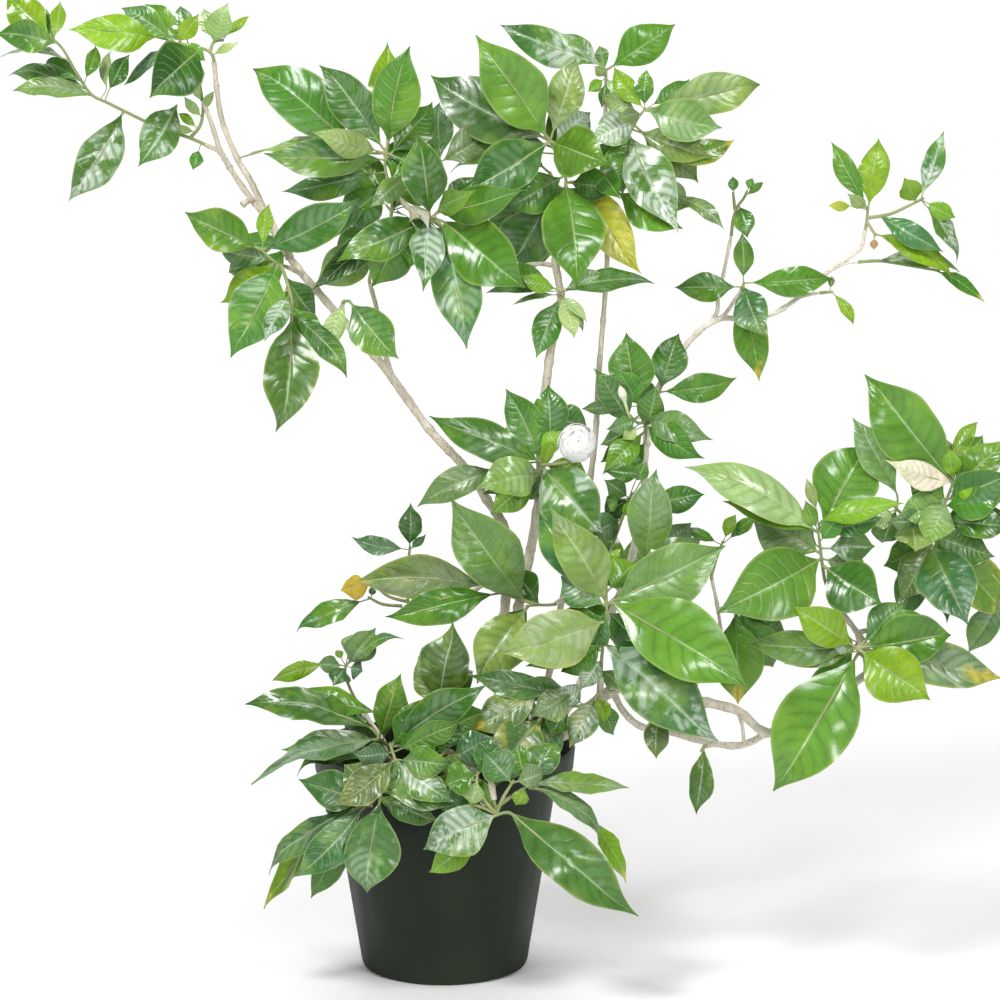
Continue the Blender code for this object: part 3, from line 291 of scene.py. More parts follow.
def makeLeafFinish(clouds, veins):
    look = leafFinish
    finish, tree, shader = newFinish(
        "glossyLeaf", Coat_Weight=look["coat"], Coat_Roughness=look["coatRoughness"],
        Specular_IOR_Level=0.44)
    own = addNode(tree, "ShaderNodeAttribute", attribute_name="leafColour")
    wearAndSheen = addNode(tree, "ShaderNodeAttribute", attribute_name="leafWearAndSheen")
    under = addNode(tree, "ShaderNodeAttribute", attribute_name="underside").outputs["Fac"]
    rib = useGroup(tree, veins, Pairs=11.0)
    broad = useGroup(tree, clouds, Scale=38.0)["Cloud"]
    fine = useGroup(tree, clouds, Scale=420.0)
    wearParts = addNode(tree, "ShaderNodeSeparateColor")
    feed(tree, wearParts, 0, wearAndSheen.outputs["Color"])
    tipWear, edgeWear, patchWear = wearParts.outputs[:3]
    # the wear attribute's alpha is how strongly the painted sheen lies on the leaf
    paintedSheen = wearAndSheen.outputs["Alpha"]

    # a cloudy tone that differs at random, then painted shade: darker near the side veins, lighter on the
    # quilted panels
    shade = sumUp(tree, "MULTIPLY_ADD", broad, 0.30, 0.85)
    shade = sumUp(tree, "MULTIPLY", shade, sumUp(tree, "MULTIPLY_ADD", fine["Cloud"], 0.16, 0.92))
    shade = sumUp(tree, "MULTIPLY", shade, sumUp(tree, "MULTIPLY_ADD", rib["Quilt"], 0.15, 0.90))
    # painted shade in the impressed vein grooves
    paintedGrooveShade = sumUp(tree, "MULTIPLY", rib["Veins"], ease(tree, own.outputs["Alpha"], 0.2, 0.8, 0.13, 0.0))
    shade = sumUp(tree, "MULTIPLY", shade, sumUp(tree, "SUBTRACT", 1.0, paintedGrooveShade))
    grey = addNode(tree, "ShaderNodeCombineColor")
    for socket in range(3):
        feed(tree, grey, socket, shade)
    colour = blendColour(tree, 1.0, own.outputs["Color"], grey.outputs[0], "MULTIPLY")
    sunned = ease(tree, useGroup(tree, clouds, Scale=21.0)["Cloud"], 0.50, 1.0, 0.0, look["sunnedShare"])
    colour = blendColour(tree, sunned, colour, look["sunned"])
    below = sumUp(tree, "MULTIPLY", under, look["undersideShare"])
    colour = blendColour(tree, below, colour, look["underside"])
    pale = ease(tree, own.outputs["Alpha"], 0.45, 1.0, 0.0, look["veinShare"])
    colour = blendColour(tree, sumUp(tree, "MULTIPLY", rib["Veins"], pale), colour, look["veinColour"])
    midrib = sumUp(tree, "MULTIPLY", rib["Midrib"], look["midribShare"])
    colour = blendColour(tree, midrib, colour, look["midribColour"])
    margin = ease(tree, rib["Across"], 0.925, 0.985, 0.0, look["marginShare"])
    colour = blendColour(tree, margin, colour, look["marginColour"])

    # painted sheen: a whitish highlight is painted in streaks between the side veins and beside the midrib
    streak = ease(tree, useGroup(tree, clouds, Scale=34.0)["Cloud"], 0.40, 0.64)
    beside = ease(tree, rib["Across"], 0.04, 0.30, 0.40, 0.0)
    between = ease(tree, rib["Quilt"], 0.20, 1.0, 0.30, 0.74)
    paintedSheenMask = sumUp(tree, "MULTIPLY", streak, between)
    paintedSheenMask = sumUp(tree, "MULTIPLY", paintedSheen, sumUp(tree, "ADD", paintedSheenMask, beside, clamp=True))
    paintedSheenMask = sumUp(tree, "MULTIPLY", paintedSheenMask, look["paintedSheenShare"])
    colour = blendColour(tree, paintedSheenMask, colour, look["paintedSheen"])

    # yellow that creeps in from the tip, along the edge or in patches, and brown where it is oldest
    wander = sumUp(tree, "MULTIPLY_ADD", broad, 0.30, -0.15)
    tipReach = sumUp(tree, "MULTIPLY_ADD", tipWear, 0.5, sumUp(tree, "ADD", rib["Along"], wander))
    fromTip = sumUp(tree, "MULTIPLY", ease(tree, tipWear, 0.02, 0.35), ease(tree, tipReach, 1.02, 1.28))
    edgeReach = sumUp(tree, "ADD", rib["Across"], wander)
    fromEdge = sumUp(tree, "MULTIPLY", edgeWear, ease(tree, edgeReach, 0.80, 1.10))
    inPatch = sumUp(tree, "MULTIPLY", patchWear, ease(tree, broad, 0.62, 0.90))
    worn = sumUp(tree, "MAXIMUM", sumUp(tree, "MAXIMUM", fromTip, fromEdge), inPatch)
    colour = blendColour(tree, worn, colour, look["withered"])
    brown = sumUp(tree, "MULTIPLY", fromTip, ease(tree, rib["Along"], 0.95, 1.0))
    colour = blendColour(tree, brown, colour, look["dead"])
    tree.links.new(colour, shader.inputs["Base Color"])

    rough = sumUp(tree, "MULTIPLY_ADD", own.outputs["Alpha"], 0.12, look["roughness"] - 0.04)
    rough = sumUp(tree, "MULTIPLY_ADD", fine["Cloud"], 0.05, rough)
    rough = sumUp(tree, "MULTIPLY_ADD", under, 0.26, rough)
    tree.links.new(rough, shader.inputs["Roughness"])
    upper = sumUp(tree, "MULTIPLY_ADD", under, -2.0, 1.0)  # grooves above are ribs below
    relief = sumUp(tree, "MULTIPLY_ADD", rib["Veins"], -0.55, rib["Quilt"])
    relief = sumUp(tree, "MULTIPLY_ADD", rib["Midrib"], -0.9, relief)
    relief = sumUp(tree, "MULTIPLY", relief, upper)
    relief = sumUp(tree, "MULTIPLY", relief, sumUp(tree, "MULTIPLY_ADD", own.outputs["Alpha"], 0.85, 0.15))
    relief = sumUp(tree, "MULTIPLY_ADD", fine["Cloud"], 0.06, relief)
    addBump(tree, shader, relief, look["relief"], look["reliefDepth"])
    return finish


def makeTwigFinish(clouds):
    finish, tree, shader = newFinish("greenTwig", Specular_IOR_Level=0.4)
    broad = useGroup(tree, clouds, Scale=55.0)
    fine = useGroup(tree, clouds, Scale=260.0, Stretch=(1.0, 1.0, 0.35))
    colour = blendColour(tree, broad["Cloud"], (0.20, 0.30, 0.09), (0.40, 0.40, 0.20))
    colour = blendColour(tree, sumUp(tree, "MULTIPLY", fine["Speck"], 0.35), colour, (0.52, 0.48, 0.33))
    tree.links.new(colour, shader.inputs["Base Color"])
    tree.links.new(sumUp(tree, "MULTIPLY_ADD", fine["Cloud"], 0.2, 0.42), shader.inputs["Roughness"])
    addBump(tree, shader, fine["Cloud"], 0.5, 0.0005)
    return finish


def makeBarkFinish(clouds):
    finish, tree, shader = newFinish("paleBark", Specular_IOR_Level=0.35)
    tone = addNode(tree, "ShaderNodeAttribute", attribute_name="woodTone").outputs["Fac"]
    broad = useGroup(tree, clouds, Scale=24.0)
    fine = useGroup(tree, clouds, Scale=190.0, Stretch=(1.0, 1.0, 0.30))
    dots = useGroup(tree, clouds, Scale=75.0)
    colour = blendColour(tree, tone, (0.56, 0.49, 0.35), (0.90, 0.84, 0.75))
    colour = blendColour(tree, sumUp(tree, "MULTIPLY", broad["Cloud"], 0.45), colour, (0.38, 0.33, 0.20))
    colour = blendColour(tree, sumUp(tree, "MULTIPLY", fine["Cloud"], 0.50), colour, (0.90, 0.85, 0.76))
    colour = blendColour(tree, sumUp(tree, "MULTIPLY", dots["Speck"], 0.60), colour, (0.32, 0.25, 0.16))
    tree.links.new(colour, shader.inputs["Base Color"])
    tree.links.new(sumUp(tree, "MULTIPLY_ADD", fine["Cloud"], -0.2, 0.78), shader.inputs["Roughness"])
    relief = sumUp(tree, "MULTIPLY_ADD", dots["Speck"], 0.8, fine["Cloud"])
    addBump(tree, shader, relief, 0.8, 0.0010)
    return finish


def makePotFinish(clouds):
    finish, tree, shader = newFinish("darkPotPlastic", Specular_IOR_Level=0.26)
    broad = useGroup(tree, clouds, Scale=9.0)
    fine = useGroup(tree, clouds, Scale=600.0)
    streak = useGroup(tree, clouds, Scale=60.0, Stretch=(1.0, 1.0, 0.06))
    place = addNode(tree, "ShaderNodeTexCoord")
    parts = addNode(tree, "ShaderNodeSeparateXYZ")
    feed(tree, parts, 0, place.outputs["Object"])
    foot = ease(tree, parts.outputs[2], 0.0, 0.05, 1.0, 0.0)  # dust from the ground
    colour = blendColour(tree, broad["Cloud"], (0.008, 0.015, 0.006), (0.011, 0.020, 0.008))
    dust = sumUp(tree, "MULTIPLY", foot, sumUp(tree, "MULTIPLY_ADD", broad["Cloud"], 0.25, 0.10))
    dust = sumUp(tree, "ADD", dust, sumUp(tree, "MULTIPLY", streak["Cloud"], 0.035))
    colour = blendColour(tree, dust, colour, (0.045, 0.052, 0.035))
    tree.links.new(colour, shader.inputs["Base Color"])
    rough = sumUp(tree, "MULTIPLY_ADD", streak["Cloud"], 0.10, 0.46)
    tree.links.new(sumUp(tree, "MULTIPLY_ADD", dust, 0.6, rough), shader.inputs["Roughness"])
    addBump(tree, shader, fine["Cloud"], 0.25, 0.0002)
    return finish


def makeSoilFinish(clouds):
    finish, tree, shader = newFinish("pottingMix", Specular_IOR_Level=0.2)
    tone = addNode(tree, "ShaderNodeAttribute", attribute_name="woodTone").outputs["Fac"]
    broad = useGroup(tree, clouds, Scale=60.0)
    fine = useGroup(tree, clouds, Scale=350.0)
    colour = blendColour(tree, broad["Cloud"], (0.016, 0.011, 0.008), (0.055, 0.036, 0.022))
    colour = blendColour(tree, tone, colour, (0.20, 0.12, 0.06))
    colour = blendColour(tree, sumUp(tree, "MULTIPLY", fine["Speck"], 0.4), colour, (0.14, 0.11, 0.08))
    tree.links.new(colour, shader.inputs["Base Color"])
    tree.links.new(sumUp(tree, "MULTIPLY_ADD", fine["Cloud"], 0.1, 0.86), shader.inputs["Roughness"])
    addBump(tree, shader, sumUp(tree, "ADD", fine["Cloud"], broad["Cloud"]), 1.0, 0.002)
    return finish


def makePetalFinish(clouds, veins):
    finish, tree, shader = newFinish(
        "whitePetal", Specular_IOR_Level=0.3, Subsurface_Weight=0.2, Subsurface_Scale=0.003,
        Subsurface_Radius=(1.0, 1.0, 1.0))
    rib = useGroup(tree, veins, Pairs=9.0)
    soft = useGroup(tree, clouds, Scale=240.0)
    throat = ease(tree, rib["Along"], 0.0, 0.30, 1.0, 0.0)
    colour = blendColour(tree, sumUp(tree, "MULTIPLY", soft["Cloud"], 0.5),
                         (0.96, 0.96, 0.94), (0.99, 0.99, 0.97))
    colour = blendColour(tree, sumUp(tree, "MULTIPLY", rib["Midrib"], 0.10), colour, (0.86, 0.88, 0.78))
    colour = blendColour(tree, sumUp(tree, "MULTIPLY", throat, 0.40), colour, (0.86, 0.88, 0.60))
    tree.links.new(colour, shader.inputs["Base Color"])
    tree.links.new(sumUp(tree, "MULTIPLY_ADD", soft["Cloud"], 0.1, 0.45), shader.inputs["Roughness"])
    relief = sumUp(tree, "MULTIPLY_ADD", rib["Veins"], -0.5, soft["Cloud"])
    addBump(tree, shader, relief, 0.25, 0.0003)
    return finish


def makeBudFinish(clouds):
    finish, tree, shader = newFinish("budSkin", Specular_IOR_Level=0.45)
    ripe = addNode(tree, "ShaderNodeAttribute", attribute_name="ripe").outputs["Fac"]
    soft = useGroup(tree, clouds, Scale=300.0)
    colour = blendColour(tree, ease(tree, ripe, 0.1, 0.75), (0.42, 0.56, 0.20), (0.88, 0.88, 0.70))
    colour = blendColour(tree, sumUp(tree, "MULTIPLY", soft["Cloud"], 0.25), colour, (0.62, 0.70, 0.36))
    tree.links.new(colour, shader.inputs["Base Color"])
    tree.links.new(sumUp(tree, "MULTIPLY_ADD", soft["Cloud"], 0.1, 0.38), shader.inputs["Roughness"])
    addBump(tree, shader, soft["Cloud"], 0.3, 0.0003)
    return finish


def makePaperFinish(clouds):
    finish, tree, shader = newFinish("studioPaper", Roughness=0.9, Specular_IOR_Level=0.0)
    soft = useGroup(tree, clouds, Scale=1.5)
    colour = blendColour(tree, soft["Cloud"], (0.93, 0.93, 0.93), (0.95, 0.95, 0.95))
    tree.links.new(colour, shader.inputs["Base Color"])
    return finish


clouds = makeCloudGroup()
veins = makeVeinGroup()
finishes = dict(
    glossyLeaf=makeLeafFinish(clouds, veins), greenTwig=makeTwigFinish(clouds),
    paleBark=makeBarkFinish(clouds), darkPotPlastic=makePotFinish(clouds),
    pottingMix=makeSoilFinish(clouds), whitePetal=makePetalFinish(clouds, veins),
    budSkin=makeBudFinish(clouds), studioPaper=makePaperFinish(clouds),
)
makeCamera()
makeLamps()
makeFloor()
print("studio and finishes ready")


# the plant's places

# foot is where a stem stands in the soil. A branch is its places, its radius at the start and at the end.
stems = {
    "stem_left": dict(foot=(0.034, 0.04), branches=[
        ([(494, 742, 0.038), (499, 690, 0.034), (501, 655, 0.03), (506, 590, 0.022), (505, 530, 0.012),
          (487, 500, 0.006), (467, 470, 0.002), (430, 430, 0.00), (380, 362, 0.00), (325, 300, 0.004),
          (290, 258, 0.008), (266, 213, 0.012)], 0.0052, 0.0034),
        ([(290, 258, 0.008), (266, 213, 0.012), (250, 180, 0.014), (238, 160, 0.014), (222, 120, 0.01),
          (217, 90, 0.004), (214, 62, 0.00)], 0.0032, 0.0021),
        ([(290, 258, 0.008), (262, 213, 0.016), (246, 192, 0.026), (230, 168, 0.034), (220, 150, 0.04),
          (212, 125, 0.046), (203, 101, 0.05)], 0.0030, 0.0020),
        ([(230, 168, 0.034), (220, 152, 0.04), (206, 145, 0.046)], 0.0026, 0.0020),
        ([(392, 378, 0.00), (383, 345, 0.014), (377, 310, 0.022), (370, 284, 0.028)], 0.0026, 0.0019),
        ([(303, 274, 0.006), (294, 270, -0.006), (287, 267, -0.014)], 0.0026, 0.0020),
        ([(340, 317, 0.002), (341, 309, -0.01), (343, 303, -0.017)], 0.0024, 0.0018),
        ([(505, 560, 0.016), (478, 588, 0.03), (440, 602, 0.038), (420, 606, 0.04)], 0.0024, 0.0018),
        ([(290, 258, 0.008), (290, 252, 0.022), (290, 248, 0.032)], 0.0026, 0.0020),
        ([(252, 200, 0.018), (246, 202, 0.012), (242, 205, 0.010)], 0.0022, 0.0032),
    ]),
    "stem_middle": dict(foot=(0.026, 0.014), branches=[
        ([(482, 744, 0.016), (503, 680, 0.01), (520, 600, 0.004), (536, 520, 0.004), (541, 470, 0.004),
          (539, 418, 0.006), (545, 392, 0.008), (550, 355, 0.01), (556, 326, 0.012), (561, 298, 0.014),
          (556, 268, 0.018), (556, 236, 0.022), (561, 205, 0.026)], 0.0052, 0.0030),
        ([(561, 298, 0.014), (556, 268, 0.018), (533, 264, 0.018), (522, 266, 0.018)], 0.0024, 0.0016),
        ([(559, 308, 0.013), (560, 300, 0.002), (560, 296, -0.006)], 0.0024, 0.0020),
        ([(541, 484, 0.004), (541, 478, -0.008), (542, 474, -0.016)], 0.0028, 0.0022),
        ([(541, 484, 0.004), (541, 478, 0.016), (542, 474, 0.026)], 0.0026, 0.0020),
    ]),
    "stem_thin": dict(foot=(0.052, 0.034), branches=[
        ([(523, 742, 0.04), (545, 690, 0.044), (562, 600, 0.044), (588, 490, 0.04), (595, 440, 0.04),
          (599, 370, 0.044), (604, 310, 0.048), (607, 262, 0.052), (607, 200, 0.056), (606, 130, 0.058),
          (605, 96, 0.058)], 0.0036, 0.0018),
        ([(607, 200, 0.056), (610, 160, 0.05), (620, 142, 0.044)], 0.0022, 0.0018),
        ([(562, 600, 0.044), (558, 602, 0.026), (555, 604, 0.012)], 0.0026, 0.0020),
    ]),
    "stem_upper_right": dict(foot=(0.07, 0.006), branches=[
        ([(545, 746, 0.01), (572, 700, 0.03), (600, 640, 0.046), (628, 570, 0.052), (643, 500, 0.052),
          (645, 462, 0.05), (648, 424, 0.05), (660, 385, 0.056), (680, 353, 0.062), (703, 328, 0.066),
          (722, 318, 0.068), (740, 319, 0.068), (774, 313, 0.066), (799, 297, 0.066), (829, 271, 0.066),
          (846, 259, 0.066), (861, 247, 0.064), (865, 230, 0.062)], 0.0042, 0.0018),
        ([(703, 328, 0.066), (722, 317, 0.064), (736, 298, 0.056), (741, 290, 0.052)], 0.0019, 0.0016),
        ([(703, 328, 0.066), (717, 312, 0.07), (718, 298, 0.076), (725, 267, 0.078),
          (731, 236, 0.076)], 0.0020, 0.0015),
        ([(829, 271, 0.066), (846, 263, 0.067), (858, 262, 0.068)], 0.0016, 0.0014),
        ([(799, 297, 0.066), (812, 294, 0.062), (820, 293, 0.06)], 0.0016, 0.0014),
        ([(648, 444, 0.05), (646, 436, 0.034), (646, 432, 0.026)], 0.0026, 0.0020),
        ([(613, 608, 0.049), (616, 604, 0.06), (618, 601, 0.068)], 0.0026, 0.0020),
    ]),
    "stem_right": dict(foot=(0.052, -0.034), branches=[
        ([(528, 752, -0.034), (548, 740, -0.04), (566, 733, -0.048), (590, 717, -0.056),
          (612, 690, -0.062), (645, 688, -0.066), (680, 697, -0.068), (714, 704, -0.07),
          (738, 711, -0.072), (768, 733, -0.074), (815, 715, -0.07), (856, 682, -0.066),
          (871, 668, -0.062), (866, 648, -0.058), (858, 634, -0.056)], 0.0062, 0.0030),
        ([(612, 690, -0.062), (624, 712, -0.06), (640, 726, -0.058), (673, 733, -0.058),
          (716, 744, -0.062), (742, 745, -0.068), (768, 733, -0.074)], 0.0030, 0.0030),
        ([(716, 744, -0.062), (711, 745, -0.074), (706, 746, -0.082)], 0.0024, 0.0020),
        ([(866, 648, -0.058), (858, 634, -0.056), (838, 606, -0.056), (826, 582, -0.058)], 0.0028, 0.0022),
        ([(866, 648, -0.058), (858, 634, -0.056), (885, 626, -0.05), (906, 592, -0.046),
          (924, 558, -0.046)], 0.0028, 0.0022),
        ([(695, 700, -0.068), (698, 680, -0.056), (726, 674, -0.044), (722, 640, -0.036),
          (717, 604, -0.034), (712, 580, -0.034)], 0.0022, 0.0015),
        ([(600, 706, -0.058), (600, 690, -0.064), (601, 676, -0.068)], 0.0034, 0.0026),
        ([(868, 658, -0.06), (863, 655, -0.07), (860, 653, -0.078)], 0.0028, 0.0022),
        ([(718, 610, -0.034), (724, 608, -0.026), (729, 608, -0.019)], 0.0018, 0.0015),
        ([(866, 648, -0.058), (864, 646, -0.046), (862, 645, -0.036)], 0.0028, 0.0022),
        ([(648, 728, -0.058), (652, 722, -0.068), (655, 718, -0.076)], 0.0022, 0.0018),
        ([(738, 711, -0.072), (742, 724, -0.074), (744, 742, -0.070)], 0.0018, 0.0014),
    ]),
    "stem_low_left": dict(foot=(-0.044, -0.018), branches=[
        ([(396, 768, -0.02), (392, 756, -0.026)], 0.0034, 0.0026),
        ([(396, 768, -0.02), (378, 752, -0.064), (366, 762, -0.104), (363, 786, -0.116),
          (366, 798, -0.118)], 0.0026, 0.0020),
        ([(396, 768, -0.02), (384, 742, 0.00), (368, 718, 0.014), (356, 700, 0.016)], 0.0024, 0.0016),
    ]),
    "stem_low_front": dict(foot=(0.012, -0.046), branches=[
        ([(466, 766, -0.052), (474, 756, -0.07), (483, 756, -0.098), (489, 772, -0.124),
          (494, 800, -0.13)], 0.0038, 0.0028),
        ([(466, 766, -0.052), (474, 756, -0.07), (500, 750, -0.086)], 0.0028, 0.0022),
        ([(466, 766, -0.052), (450, 752, -0.062), (440, 750, -0.066)], 0.0028, 0.0022),
    ]),
}

